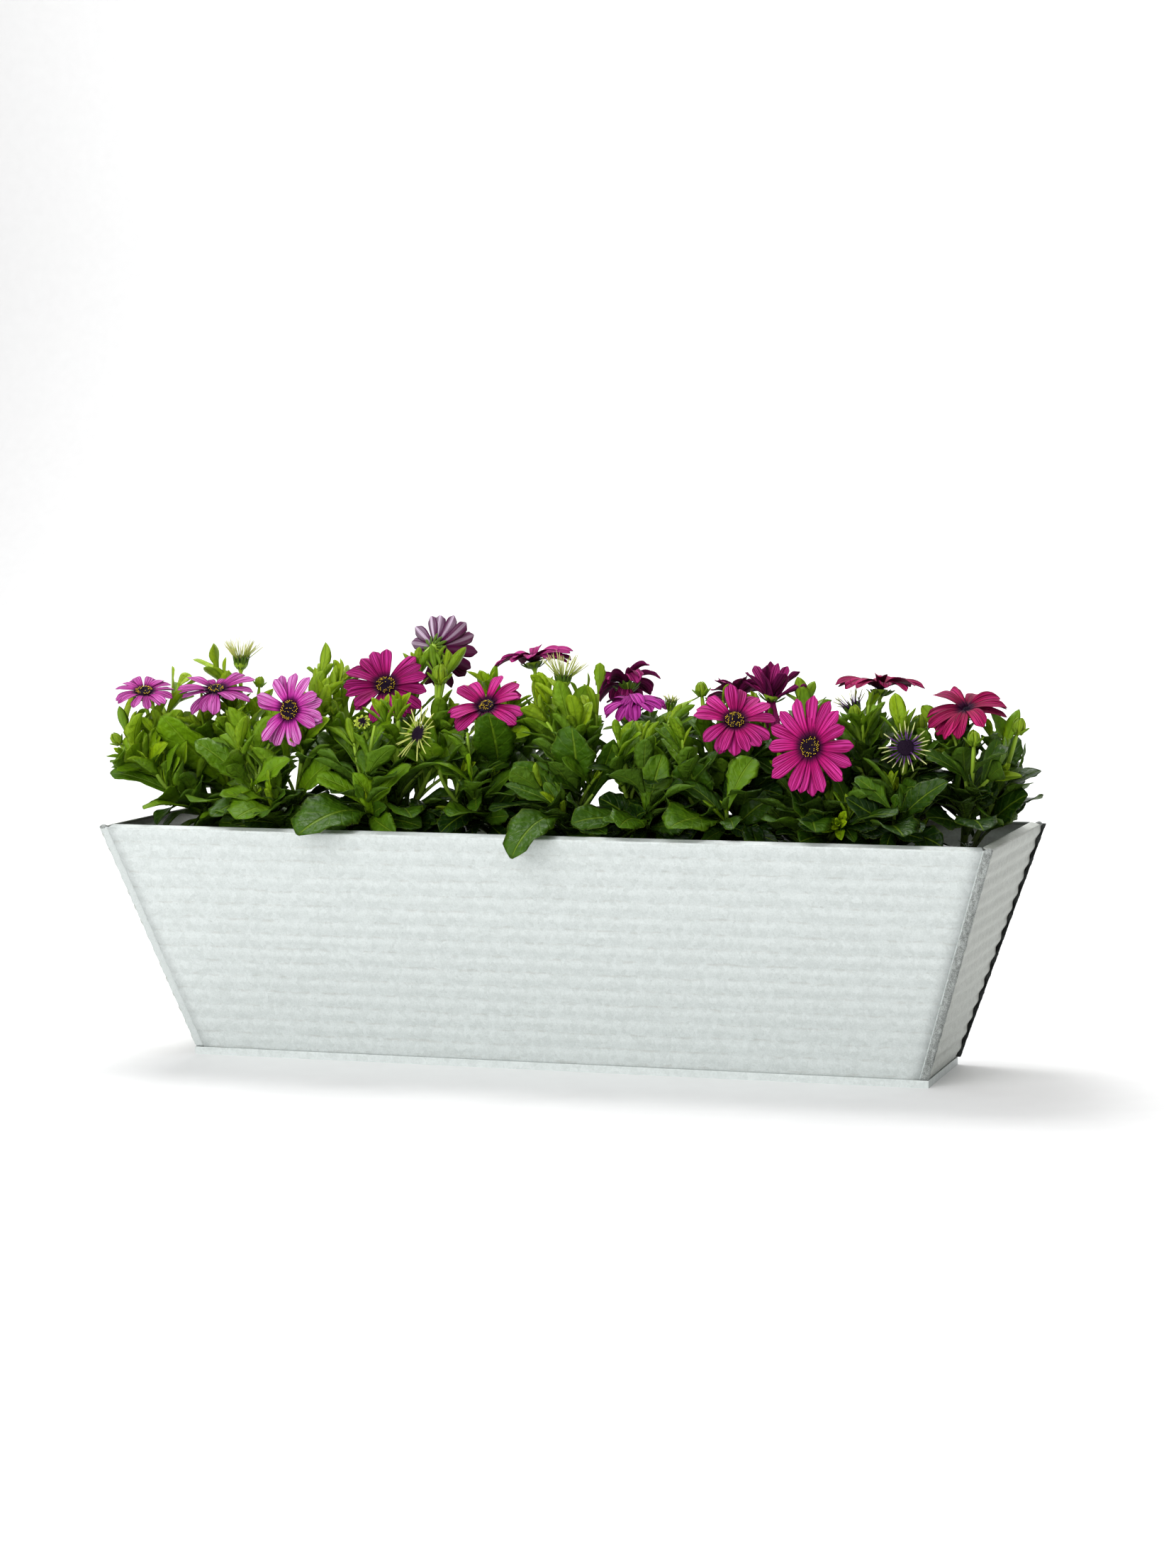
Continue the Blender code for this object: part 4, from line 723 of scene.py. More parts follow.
def close_tree(wire, geometry, surface):
    """Ends a tree with real meshes, smooth faces and the material."""
    real = wire.out("GeometryNodeRealizeInstances", {"Geometry": geometry})
    soft = wire.out("GeometryNodeSetShadeSmooth", {"Geometry": real})
    painted = wire.out("GeometryNodeSetMaterial", {"Geometry": soft, "Material": surface})
    wire.node("NodeGroupOutput", {"Mesh": painted})
    return wire.tree


def run_tree(name, data, tree, settings):
    """Runs a tree on a mesh with these input values, and returns the plain mesh."""
    holder = add_object(name, data)
    step = holder.modifiers.new("nodes", "NODES")
    step.node_group = tree
    names = {s.name: s.identifier for s in tree.interface.items_tree if s.in_out == "INPUT"}
    for label, value in settings.items():
        step[names[label]] = value
    graph = bpy.context.evaluated_depsgraph_get()
    made = bpy.data.meshes.new_from_object(
        holder.evaluated_get(graph), preserve_all_data_layers=True, depsgraph=graph
    )
    holder.modifiers.clear()
    bpy.data.objects.remove(holder)
    bpy.data.meshes.remove(data)
    made.name = name
    return made


def piece(name, data, slot, *nodes):
    """A finished piece: it rides on the part and stands for these CAD nodes. slot is not used."""
    made = add_object(name, data)
    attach(made, "root")
    if nodes:
        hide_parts(*nodes)
    return made


def mesh_from(name, mesh, *surfaces):
    """A bmesh as mesh data with its materials, shaded smooth. The bmesh is freed."""
    data = bpy.data.meshes.new(name)
    mesh.to_mesh(data)
    mesh.free()
    for surface in surfaces:
        data.materials.append(surface)
    data.shade_smooth()
    return data


def skin(mesh, rows, closed=False):
    """Faces between each row of vertices and the next. Closed rows are rings."""
    for a, b in zip(rows, rows[1:]):
        for i in range(len(a) - (not closed)):
            j = (i + 1) % len(a)
            mesh.faces.new((a[i], a[j], b[j], b[i]))


print("tree runner ready")

# %% [markdown]
# Each finish is built from nodes. Patterns on the box and the soil read the object's own coordinates.
# Patterns on a leaf or petal read numbers that its mesh carries: across, from -1 at one edge to 1 at
# the other, along, from 0 at the root to 1 at the tip, face, which is negative underneath, and a
# tone of its own. The stripes then bend with the petal.

# %% Helpers for surfaces
BLADE_NUMBERS = ("across", "along", "face", "age", "tone")


def new_surface(name, rough, metal=0.0, gloss=0.5):
    """A material, with its wiring and its Principled shader."""
    made = bpy.data.materials.new(name)
    made.use_nodes = True
    shader = made.node_tree.nodes["Principled BSDF"]
    for label, value in (("Roughness", rough), ("Metallic", metal), ("Specular IOR Level", gloss)):
        shader.inputs[label].default_value = value
    return made, Wiring(made.node_tree), shader


def place_of(wire):
    """Object coordinates, in metres."""
    return Field(wire, wire.node("ShaderNodeTexCoord").outputs["Object"])


def carried(wire, name):
    """A number that the mesh carries."""
    return Field(wire, wire.node("ShaderNodeAttribute", attribute_name=name).outputs["Fac"])


def noise(where, scale, detail=3.0, rough=0.55):
    """A soft random pattern, from 0 to 1. Three scales stretch it along the axes."""
    if isinstance(scale, tuple):
        where, scale = where.wire.vector("MULTIPLY", where, scale), 1.0
    inputs = {"Vector": where, "Scale": scale, "Detail": detail, "Roughness": rough}
    return where.wire.out("ShaderNodeTexNoise", inputs)


def tint(share, low, high):
    """A colour between low and high."""
    wire = share.wire
    made = wire.node("ShaderNodeMix", data_type="RGBA")
    share.into(made, "Factor")
    for socket, colour in zip([s for s in made.inputs if s.type == "RGBA"], (low, high)):
        wire.put(socket, colour if isinstance(colour, Field) else (*colour, 1))
    return Field(wire, next(s for s in made.outputs if s.type == "RGBA"))


def ramp(share, stops):
    """A colour read off a ramp of (place, colour) stops."""
    made = share.wire.node("ShaderNodeValToRGB", {"Fac": share})
    band = made.color_ramp
    for _ in stops[2:]:
        band.elements.new(0.5)
    for element, (place, colour) in zip(band.elements, stops):
        element.position = place
        element.color = (*colour, 1)
    return Field(share.wire, made.outputs["Color"])


def bump(shader, height, strength, depth):
    """Small relief, without changing the mesh. depth is in metres."""
    inputs = {"Strength": strength, "Distance": depth, "Height": height}
    height.wire.out("ShaderNodeBump", inputs).into(shader, "Normal")


def let_light_through(shader, colour, share):
    """Mixes in light from behind, as a thin leaf or petal shows."""
    wire = colour.wire
    both = wire.node("ShaderNodeMixShader")
    glow = wire.out("ShaderNodeBsdfTranslucent", {"Color": colour})
    for socket, value in zip(both.inputs, (share, shader.outputs[0], glow)):
        wire.put(socket, value)
    wire.put(wire.tree.nodes["Material Output"].inputs["Surface"], both.outputs[0])


print("surface helpers ready")

# %% [markdown]
# A white room lights the plants from all round, which makes thin leaves glow. One broad lamp in
# front keeps the long sheet even and leaves the end in half shade, and one above adds the gloss.
# The floor is one pale sheet that rises far behind, where its own lamp makes it white.

# %% Light and floor
WORLD_STRENGTH = 0.38
FLOOR_REACH = 6.0


def lamp(name, place, target, size, watts):
    """A square area lamp at place, aimed at target."""
    data = bpy.data.lights.new(name, "AREA")
    data.size = size
    data.energy = watts
    made = add_object(name, data)
    made.location = place
    made.rotation_euler = (Vector(target) - Vector(place)).to_track_quat("-Z", "Y").to_euler()


def floor_surface():
    """Matt white card with a faint grain."""
    made, wire, shader = new_surface("white card", 0.9)
    grain = noise(place_of(wire), 40.0, 2.0, 0.5)
    tint(grain, (0.86, 0.86, 0.86), (0.9, 0.9, 0.9)).into(shader, "Base Color")
    return made


def floor_sheet():
    """A flat floor that sweeps up into a wall behind the box."""
    mesh = bmesh.new()
    far = FLOOR_REACH - 1.0
    profile = [(-FLOOR_REACH, 0.0), (far, 0.0)]
    profile += [(far + math.sin(a), 1 - math.cos(a)) for a in np.linspace(0.1, math.pi / 2, 12)]
    profile.append((FLOOR_REACH, FLOOR_REACH))
    skin(mesh, [[mesh.verts.new((side * FLOOR_REACH, y, z)) for side in (-1, 1)] for y, z in profile])
    return add_object("floor", mesh_from("floor", mesh, floor_surface()))


world = bpy.data.worlds.new("white room")
world.use_nodes = True
world.node_tree.nodes["Background"].inputs["Color"].default_value = (1, 1, 1, 1)
world.node_tree.nodes["Background"].inputs["Strength"].default_value = WORLD_STRENGTH
bpy.context.scene.world = world
bpy.context.scene.view_settings.view_transform = "Standard"
lamp("broad lamp", (-0.5, -2.5, 1.3), (0.0, 0.0, 0.15), 2.4, 65)
lamp("top lamp", (-0.5, 0.7, 1.9), (0.0, 0.0, 0.15), 1.0, 30)
lamp("backdrop lamp", (0.0, 3.4, 3.6), (0.0, FLOOR_REACH, 0.4), 4.0, 230)
floor = floor_sheet()
print("floor faces:", len(floor.data.polygons))

# %% [markdown]
# Hot-dipped zinc weathers to a pale, chalky grey. Close up it shows crystals a few millimetres
# across, fine wrinkles, and faint rolling marks along the ribs. Each of these is one layer of
# noise at its real scale. The oxide is dull, so the metal share is low.

# %% Galvanised zinc
ZINC_LIGHT = (0.65, 0.692, 0.682)
ZINC_SHADE = (0.505, 0.545, 0.532)
# A darker copy of the zinc for the end sheets: painted shade.
SHADED_END_LIGHT = (0.545, 0.57, 0.53)
SHADED_END_DARK = (0.385, 0.404, 0.372)
ZINC_MARK = (0.2, 0.22, 0.21)
ZINC_DUST = (0.29, 0.27, 0.225)
SOLDER_LIGHT = (0.5, 0.53, 0.515)
SOLDER_DARK = (0.13, 0.14, 0.132)
# Near-black colours for the seam at the far right corner: painted shade.
FAR_SEAM_SHADE_LIGHT = (0.07, 0.078, 0.075)
FAR_SEAM_SHADE_DARK = (0.012, 0.014, 0.014)
METAL_SHARE = 0.25
CRYSTALS = 300.0
WRINKLES = 850.0
RIB_START = 0.0015


def rib_lines(where):
    """Thin dirt lines in the valleys between the ribs, wavering and broken."""
    pitch = (HEIGHT - HEM_HEIGHT - RIB_START) / RIB_COUNT
    ribs = (where.wire.parts(where)[2] - (HEM_HEIGHT + RIB_START)) / pitch
    ribs += noise(where, (40.0, 40.0, 90.0), 4.0, 0.6) * 0.5 - 0.25
    beside = abs(ribs.fraction() - 0.5)
    broken = noise(where, (110.0, 110.0, 260.0), 5.0, 0.7).smooth(0.44, 0.62)
    return beside.smooth(0.36, 0.49) * broken


def zinc_surface(name, light, shade, rough):
    made, wire, shader = new_surface(name, rough, METAL_SHARE)
    where = place_of(wire)
    crystal = wire.node("ShaderNodeTexVoronoi", {"Vector": where, "Scale": CRYSTALS, "Randomness": 1.0})
    grain = wire.out("ShaderNodeSeparateColor", {"Color": crystal.outputs["Color"]})
    cloud = noise(where, 60.0, 6.0, 0.68)
    fine = noise(where, WRINKLES, 3.0, 0.7)
    streak = noise(where, (26.0, 26.0, 520.0), 5.0, 0.65)
    speck = noise(where, 620.0, 3.0, 0.6).smooth(0.62, 0.76)
    mark = rib_lines(where)
    share = grain * 0.16 + cloud * 0.08 + fine * 0.6 + streak * 0.16
    colour = tint(share.smooth(0.22, 0.76), shade, light)
    colour = tint(mark * 0.22, colour, ZINC_DUST)
    tint(speck * 0.28, colour, ZINC_MARK).into(shader, "Base Color")
    (cloud * 0.22 + (rough - 0.11)).into(shader, "Roughness")
    bump(shader, fine * 0.8 + streak * 0.4 - mark * 0.2, 0.3, 0.0005)
    return made


def seam_surface(name, light, dark):
    """Rough grey solder, which runs out into the clean fold beside it. The mesh carries how much."""
    made, wire, shader = new_surface(name, 0.6, METAL_SHARE)
    where = place_of(wire)
    lump = noise(where, (420.0, 420.0, 170.0), 5.0, 0.68)
    grain = noise(where, 1400.0, 2.0, 0.6)
    clean = tint(grain, ZINC_SHADE, ZINC_LIGHT)
    solder = tint((grain * 0.5 + lump * 0.6).smooth(0.35, 0.8), dark, light)
    share = carried(wire, "solder") + (lump - 0.5)
    tint(share.smooth(0.42, 0.62), clean, solder).into(shader, "Base Color")
    bump(shader, grain * 0.5 + lump, 0.7, 0.001)
    return made


zinc = zinc_surface("weathered zinc", ZINC_LIGHT, ZINC_SHADE, 0.55)
# The end sheets take the darker copy of the zinc, as painted shade.
shaded_end_zinc = zinc_surface("end zinc with painted shade", SHADED_END_LIGHT, SHADED_END_DARK, 0.58)
seam_zinc = seam_surface("soldered seam", SOLDER_LIGHT, SOLDER_DARK)
# The seam at the far right corner is painted nearly black: painted shade.
shaded_far_seam = seam_surface("soldered seam with painted shade", FAR_SEAM_SHADE_LIGHT, FAR_SEAM_SHADE_DARK)
print("zinc:", len(zinc.node_tree.nodes), "nodes")

# %% [markdown]
# Potting soil is nearly black when moist, with browner fibres and a few pale grains.

# %% Soil
def soil_surface(name, dark, light):
    made, wire, shader = new_surface(name, 0.95)
    where = place_of(wire)
    coarse = noise(where, 260.0, 6.0, 0.7)
    fibre = noise(where, (900.0, 240.0, 400.0), 4.0, 0.65)
    tint((fibre * 0.5 + coarse * 0.6).smooth(0.42, 0.78), dark, light).into(shader, "Base Color")
    bump(shader, coarse + fibre, 0.8, 0.0012)
    return made


earth = soil_surface("moist soil", (0.01, 0.007, 0.005), (0.075, 0.046, 0.028))
bark = soil_surface("bark and fibre", (0.045, 0.026, 0.015), (0.16, 0.095, 0.05))
grit = soil_surface("pale grains", (0.42, 0.4, 0.36), (0.72, 0.7, 0.66))
print("soil surfaces:", earth.name, bark.name, grit.name)

# %% [markdown]
# A leaf is darker and glossier the older it is, and lime green while it unfolds. age carries
# that, and the painted shade that darkens the leaves towards the right end.
# The upper face shows a sunken pale midrib with side veins and a fine leathery grain; the edge is
# thin and pale, and the underside is greyer. Light that falls through makes young leaves glow.

# %% Leaves and stems
LEAF_STOPS = (
    (0.0, (0.44, 0.61, 0.006)),
    (0.3, (0.185, 0.36, 0.004)),
    (0.6, (0.062, 0.155, 0.005)),
    (1.0, (0.01, 0.036, 0.003)),
)
LEAF_VEIN = (0.27, 0.43, 0.025)
LEAF_UNDER = (0.15, 0.27, 0.03)
GLOW_YOUNG = (0.62, 0.82, 0.02)
GLOW_OLD = (0.045, 0.15, 0.008)
STEM_STOPS = ((0.0, (0.045, 0.042, 0.014)), (0.25, (0.08, 0.145, 0.014)), (1.0, (0.32, 0.5, 0.035)))
VEIN_PAIRS = 7.0


def leaf_surface():
    made, wire, shader = new_surface("leaf green", 0.42, gloss=0.26)
    across, along, face, age, tone = (carried(wire, name) for name in BLADE_NUMBERS)
    out = abs(across)
    where = place_of(wire)
    mottle = noise(where, 420.0, 4.0, 0.6)
    patch = noise(where, 110.0, 3.0, 0.5)
    quilt = noise(where, 190.0, 1.0, 0.5)
    shade = age + patch * 0.34 + tone * 0.22 + mottle * 0.18 - 0.37
    colour = ramp(shade.clamp(), LEAF_STOPS)
    wave = abs((along * VEIN_PAIRS - out * 1.6).fraction() - 0.5)
    side_vein = 1 - wave.smooth(0.03, 0.12)
    midrib = 1 - out.smooth(0.03, 0.1)
    vein = midrib.larger(side_vein * 0.22)
    pale = (vein * 0.5).larger(out.smooth(0.9, 1.0) * 0.4)
    colour = tint(pale, colour, LEAF_VEIN)
    under = (face * -1.0).smooth(0.05, 0.3)
    tint(under * 0.4, colour, LEAF_UNDER).into(shader, "Base Color")
    (mottle * 0.24 + 0.38 - age * 0.16).into(shader, "Roughness")
    bump(shader, mottle * 0.7 - vein * 0.9 + quilt * 2.2, 0.85, 0.0011)
    let_light_through(shader, tint(age, GLOW_YOUNG, GLOW_OLD), 0.26)
    return made


def stem_surface():
    """Ribbed stems: pale green above and darker below, brownish where they leave the soil."""
    made, wire, shader = new_surface("stem green", 0.48, gloss=0.3)
    where = place_of(wire)
    streak = noise(where, (900.0, 900.0, 60.0), 3.0, 0.6)
    share = (streak * 0.014 + wire.parts(where)[2]).smooth(0.145, 0.235)
    ramp(share, STEM_STOPS).into(shader, "Base Color")
    bump(shader, streak, 0.5, 0.0006)
    return made


leaf_green = leaf_surface()
stem_green = stem_surface()
print("leaf green:", len(leaf_green.node_tree.nodes), "nodes")

# %% [markdown]
# A ray petal has two long grooves and many fine stripes, darker near the eye, and painted shade along
# its edges, where petals overlap. Its face is saturated and softly shiny, and some petals of a head are
# deeper than others; on the silvery bloom that depth is painted light, paler on its lit side. The back
# is a dull purple or a silvery lilac with a dark middle stripe. One function makes them all from five
# colours.

# %% Petals
HALO = (0.022, 0.003, 0.024)
GROOVE_PLACE = 0.36
# Face, streaks on it, depth of its dark petals, which also paints shade, back, stripes on the back.
PETAL_COLOURS = {
    "orchid": (
        (0.66, 0.02, 0.41), (0.95, 0.3, 0.82), (0.17, 0.006, 0.1),
        (0.3, 0.1, 0.29), (0.09, 0.01, 0.09),
    ),
    "rose": (
        (0.86, 0.045, 0.58), (1.0, 0.5, 0.95), (0.32, 0.012, 0.19),
        (0.42, 0.14, 0.36), (0.12, 0.012, 0.11),
    ),
    "magenta": (
        (0.66, 0.005, 0.21), (0.9, 0.08, 0.5), (0.18, 0.002, 0.052),
        (0.26, 0.022, 0.14), (0.07, 0.005, 0.045),
    ),
    "wine": (
        (0.46, 0.004, 0.15), (0.8, 0.05, 0.42), (0.11, 0.001, 0.036),
        (0.12, 0.01, 0.065), (0.03, 0.003, 0.02),
    ),
    "crimson": (
        (0.46, 0.003, 0.076), (0.7, 0.026, 0.22), (0.09, 0.001, 0.02),
        (0.05, 0.005, 0.025), (0.013, 0.002, 0.01),
    ),
    "dusk": (
        (0.4, 0.004, 0.14), (0.7, 0.06, 0.36), (0.06, 0.001, 0.024),
        (0.21, 0.012, 0.11), (0.03, 0.003, 0.02),
    ),
    "silver": (
        (0.52, 0.2, 0.5), (0.92, 0.84, 0.94), (0.1, 0.003, 0.05),
        (0.11, 0.006, 0.085), (0.82, 0.64, 0.84),
    ),
    "plum": (
        (0.54, 0.006, 0.21), (0.74, 0.04, 0.38), (0.15, 0.002, 0.055),
        (0.035, 0.004, 0.028), (0.01, 0.002, 0.01),
    ),
    "fuchsia": (
        (0.6, 0.016, 0.4), (0.8, 0.1, 0.62), (0.15, 0.003, 0.095),
        (0.07, 0.008, 0.06), (0.02, 0.004, 0.02),
    ),
}


def petal_surface(name, colour, streak, deep_and_shade, back, back_streak):
    """A petal finish: face colour, its light streaks and its depth, which also paints shade, back colour and
    its stripes.
    """
    made, wire, shader = new_surface(name, 0.55, gloss=0.08)
    across, along, face, age, tone = (carried(wire, number) for number in BLADE_NUMBERS)
    out = abs(across)
    spread = wire.xyz(across, along, tone)
    fibre = noise(spread, (9.0, 0.9, 40.0), 3.0, 0.6)
    vein = noise(spread, (22.0, 1.2, 60.0), 2.0, 0.6)
    light = (vein * 0.4 + fibre * 0.75).smooth(0.46, 0.7) * along.smooth(0.1, 0.75)
    groove = 1 - abs(out - GROOVE_PLACE).smooth(0.02, 0.11)
    # line darkens the grooves and the fine stripes, and paints shade along the edges, where petals overlap.
    line = groove.larger(fibre.smooth(0.54, 0.4)).larger(out.smooth(0.84, 1.0))
    halo = 1 - (along - fibre * 0.3 - vein * 0.16).smooth(-0.14, 0.08)
    middle = 1 - (vein * 0.35 + out).smooth(0.24, 0.7)
    under = (face * -1.0).smooth(0.02, 0.25)
    front = tint(age, tint(light, colour, streak), deep_and_shade)
    front = tint(line * 0.76, front, deep_and_shade)
    front = tint(halo * 0.95, front, HALO)
    rear = tint(middle, back, back_streak)
    rear = tint(light * 0.3, rear, streak)
    # The painted shade along the edges darkens the back as well.
    rear = tint(line * 0.45, rear, deep_and_shade)
    shown = tint(under, front, tint(age, rear, deep_and_shade))
    shown.into(shader, "Base Color")
    bump(shader, vein - groove, 0.45, 0.0005)
    let_light_through(shader, shown, 0.22)
    return made


petal_surfaces = {name: petal_surface(name + " petal", *given) for name, given in PETAL_COLOURS.items()}
print("petal finishes:", len(petal_surfaces))

# %% [markdown]
# The eye is a dome of tiny florets: blue-black and shut in the middle, open with gold pollen in the
# outer rings. A withered petal rolls into a cream strand, green at its tip and purple at its foot.

# %% Florets and withered petals
def floret_surface():
    made, wire, shader = new_surface("florets", 0.6, gloss=0.05)
    grain = noise(place_of(wire), 2200.0, 2.0, 0.5)
    gold = tint(grain, (0.8, 0.46, 0.015), (1.0, 0.76, 0.08))
    dark = tint(grain, (0.003, 0.002, 0.007), (0.022, 0.009, 0.024))
    tint(carried(wire, "pollen"), dark, gold).into(shader, "Base Color")
    bump(shader, grain, 0.5, 0.0002)
    return made


def strand_surface(name, root, middle, tip):
    made, wire, shader = new_surface(name, 0.6)
    grain = noise(place_of(wire), 900.0, 2.0, 0.5)
    share = carried(wire, "tone") * 0.16 + grain * 0.14 + carried(wire, "along") - 0.12
    colour = ramp(share, ((0.14, root), (0.38, middle), (0.52, middle), (0.76, tip)))
    colour.into(shader, "Base Color")
    let_light_through(shader, colour, 0.2)
    return made


florets = floret_surface()
cream_strand = strand_surface("cream strand", (0.08, 0.11, 0.03), (0.58, 0.66, 0.14), (0.8, 0.82, 0.3))
pale_strand = strand_surface("pale strand", (0.015, 0.01, 0.025), (0.62, 0.66, 0.16), (0.8, 0.84, 0.26))
lime_strand = strand_surface("lime strand", (0.03, 0.03, 0.02), (0.5, 0.6, 0.05), (0.7, 0.82, 0.12))
violet_strand = strand_surface("violet strand", (0.018, 0.006, 0.05), (0.17, 0.04, 0.26), (0.76, 0.8, 0.36))
print("small finishes:", florets.name, cream_strand.name, lime_strand.name, violet_strand.name)

# %% [markdown]
# The box is folded from thin sheet. Its walls carry fifteen shallow ribs, which the CAD model shows
# as zigzags. Here one Geometry Nodes tree rolls a flat grid into rounded ribs, adds the slight
# waviness of thin sheet and turns the top edge in as a lip. Solidify then gives it its thickness.

# %% The ribbed wall tree
LIP_ROLL = 0.0011
WAVINESS = 0.00022
LONG_RIB_DEPTH = 0.00045
END_RIB_DEPTH = 0.0013
RIBBED_HEIGHT = HEIGHT - HEM_HEIGHT - RIB_START
RIB_INPUTS = {
    "Low half": 0.25,
    "High half": 0.3,
    "Lip half": 0.29,
    "Foot": 0.05,
    "Slope": 0.3,
    "Ribs": float(RIB_COUNT),
    "Rib depth": LONG_RIB_DEPTH,
}


def rib_tree():
    """Shapes a grid whose x runs across the wall, -1 to 1, and whose y is the way up the sheet."""
    wire, given = new_tree("ribbed sheet", RIB_INPUTS)
    side, way_up, _ = wire.parts(wire.position())
    up, lip = way_up.smaller(1.0), (way_up - 1.0).clamp()
    rise = up * (HEIGHT - HEM_HEIGHT)
    half = up * (given["High half"] - given["Low half"]) + given["Low half"]
    half = lip * (given["Lip half"] - given["High half"]) + half
    turn = ((rise - RIB_START) / RIBBED_HEIGHT).clamp() * given["Ribs"] * (2 * math.pi)
    bulge = turn.cosine() * -0.5 + 0.5
    sway_at = wire.xyz(side * half, rise, given["Foot"])
    sway = wire.out("ShaderNodeTexNoise", {"Vector": sway_at, "Scale": 14.0, "Detail": 2.0})
    sway = (sway - 0.5) * (WAVINESS * 2) * (up.smooth(0.0, 0.08) * up.smooth(1.0, 0.92))
    flare = wire.math("ARCTANGENT", given["Slope"])
    fold = lip * LIP
    out = rise * given["Slope"] + given["Foot"] + bulge * given["Rib depth"] + sway
    height = rise + HEM_HEIGHT + fold * flare.sine()
    spot = wire.xyz(out - fold * flare.cosine(), side * half, height)
    return close_tree(wire, wire.move(given["Mesh"], Position=spot), given["Material"])


ribbed = rib_tree()
print("ribbed sheet tree:", len(ribbed.nodes), "nodes")

# %% [markdown]
# A grid with rows packed where the sheet bends keeps the fold crisp. The wall is shaped facing +X, so
# one turn about Z puts it on any side of the box.

# %% The four walls
ROWS_PER_RIB = 8
CELLS_ACROSS = 60
TURN = {"right": 0.0, "back": math.pi / 2, "left": math.pi, "front": -math.pi / 2}


def flat_sheet(start):
    """A grid: x from -1 to 1, y from start below the first rib to 1 at the rim, 2 at the lip's edge."""
    mesh = bmesh.new()
    first = RIB_START / (HEIGHT - HEM_HEIGHT)
    ribs = RIB_COUNT * ROWS_PER_RIB
    heights = [start, 0.0] + [first + (1 - first) * i / ribs for i in range(ribs + 1)]
    heights += [1 + LIP_ROLL / LIP, 1.5, 2 - LIP_ROLL / LIP, 2.0]
    across = [2 * i / CELLS_ACROSS - 1 for i in range(CELLS_ACROSS + 1)]
    skin(mesh, [[mesh.verts.new((x, height, 0)) for x in across] for height in heights])
    return mesh_from("flat sheet", mesh)


def sheet_wall(side, low, width, slope, depth, surface, node):
    """One wall of the box, as a closed sheet. low and width are its half widths at the foot and rim."""
    long_wall = side in ("front", "back")
    lip = (TOP_LENGTH if long_wall else TOP_WIDTH) / 2 - LIP - MITRE
    foot = (BASE_WIDTH if long_wall else BASE_LENGTH) / 2 - WALL_FOOT
    values = (low, width, lip, foot, slope)
    settings = {**dict(zip(RIB_INPUTS, values)), "Rib depth": depth, "Material": surface}
    below = (SHEET + GAP - HEM_HEIGHT) / (HEIGHT - HEM_HEIGHT)
    data = run_tree(side + "_sheet", flat_sheet(below), ribbed, settings)
    data.transform(Matrix.Rotation(TURN[side], 4, "Z"))
    thick = piece(side + "_sheet", data, "zinc", node).modifiers.new("sheet", "SOLIDIFY")
    thick.thickness = SHEET
    thick.offset = -1
    thick.use_even_offset = True
    print(side, len(data.polygons), "cells")


low, width = BASE_LENGTH / 2 - WALL_FOOT - SEAM_WIDTH, TOP_LENGTH / 2 - SEAM_WIDTH
for side in ("front", "back"):
    sheet_wall(side, low, width, FRONT_SLOPE, LONG_RIB_DEPTH, zinc, side + "_panel")
# The end sheets carry the zinc with painted shade.
low, width = BASE_WIDTH / 2 - WALL_FOOT - SHEET / 4, TOP_WIDTH / 2 - SHEET / 4
for side in ("right", "left"):
    sheet_wall(side, low, width, END_SLOPE, END_RIB_DEPTH, shaded_end_zinc, "end_panel_" + side)

# %% [markdown]
# The end sheets fold round the corners and over the long ones, and solder fills the fold. It leaves
# a narrow, rough, darker bead with small runs and drips, and a knob at the top. The bead at the far
# right corner is painted nearly black: painted shade. The bead here is a rounded strip that noise
# pushes in and out.

# %% The soldered seams
SEAM_RINGS = 110
SEAM_FOOT = HEM_HEIGHT + GAP
SEAM_TOP = HEIGHT + SHEET / 2
SOLDER_ROUGH = 0.00028
SOLDER_SHARES = (0.2, 1.0, 1.0, 1.0, 1.0, 1.0, 0.75, 0.3)
ROUND_OFF = ((0.0, 0.0), (0.35, 0.12), (0.7, 0.4), (1.0, 1.0))
CORNER = SEAM_PROUD + SHEET
KNOB = Vector((0.0026, 0.0026, 0.0017))
KNOB_INSET = 0.0016


def seam_bead(name, sign_x, sign_y, cover, proud, surface, node):
    """The rounded seam down one corner. cover is how far the solder hides the zinc, from 0 to 1."""
    draw = random.Random(SEED + sign_x * 2 + sign_y)
    mesh = bmesh.new()
    solder = mesh.verts.layers.float.new("solder")
    rings = []
    for step in range(SEAM_RINGS + 1):
        z = SEAM_FOOT + (SEAM_TOP - SEAM_FOOT) * step / SEAM_RINGS
        end = BASE_LENGTH / 2 - WALL_FOOT + END_SLOPE * (z - HEM_HEIGHT)
        face = BASE_WIDTH / 2 - WALL_FOOT + FRONT_SLOPE * (z - HEM_HEIGHT)
        x_in, x_out = end - SEAM_WIDTH - GAP, end + proud
        y_in, y_out = face - SHEET * 0.9, face + SEAM_PROUD * (0.4 + 0.6 * cover)
        swell = SOLDER_ROUGH * math.sin(step * 0.7) * 0.5
        profile = [(x_in, y_in), (x_out, y_in)]
        for back, drop in ROUND_OFF:
            rough = draw.uniform(-SOLDER_ROUGH, SOLDER_ROUGH) + swell
            profile.append((x_out - CORNER * drop + rough, y_out - CORNER * (1 - back) ** 2 + rough))
        profile.append((x_in + SEAM_WIDTH * 0.3, y_out + draw.uniform(-SOLDER_ROUGH, 0)))
        profile.append((x_in, y_out - SEAM_PROUD * 0.6))
        ring = [mesh.verts.new((sign_x * x, sign_y * y, z)) for x, y in profile]
        for vertex, share in zip(ring, SOLDER_SHARES):
            vertex[solder] = share * cover
        rings.append(ring)
    skin(mesh, rings, closed=True)
    mesh.faces.new(rings[0])
    mesh.faces.new(rings[-1])
    bmesh.ops.recalc_face_normals(mesh, faces=mesh.faces)
    piece(name, mesh_from(name, mesh, surface), "zinc", node)


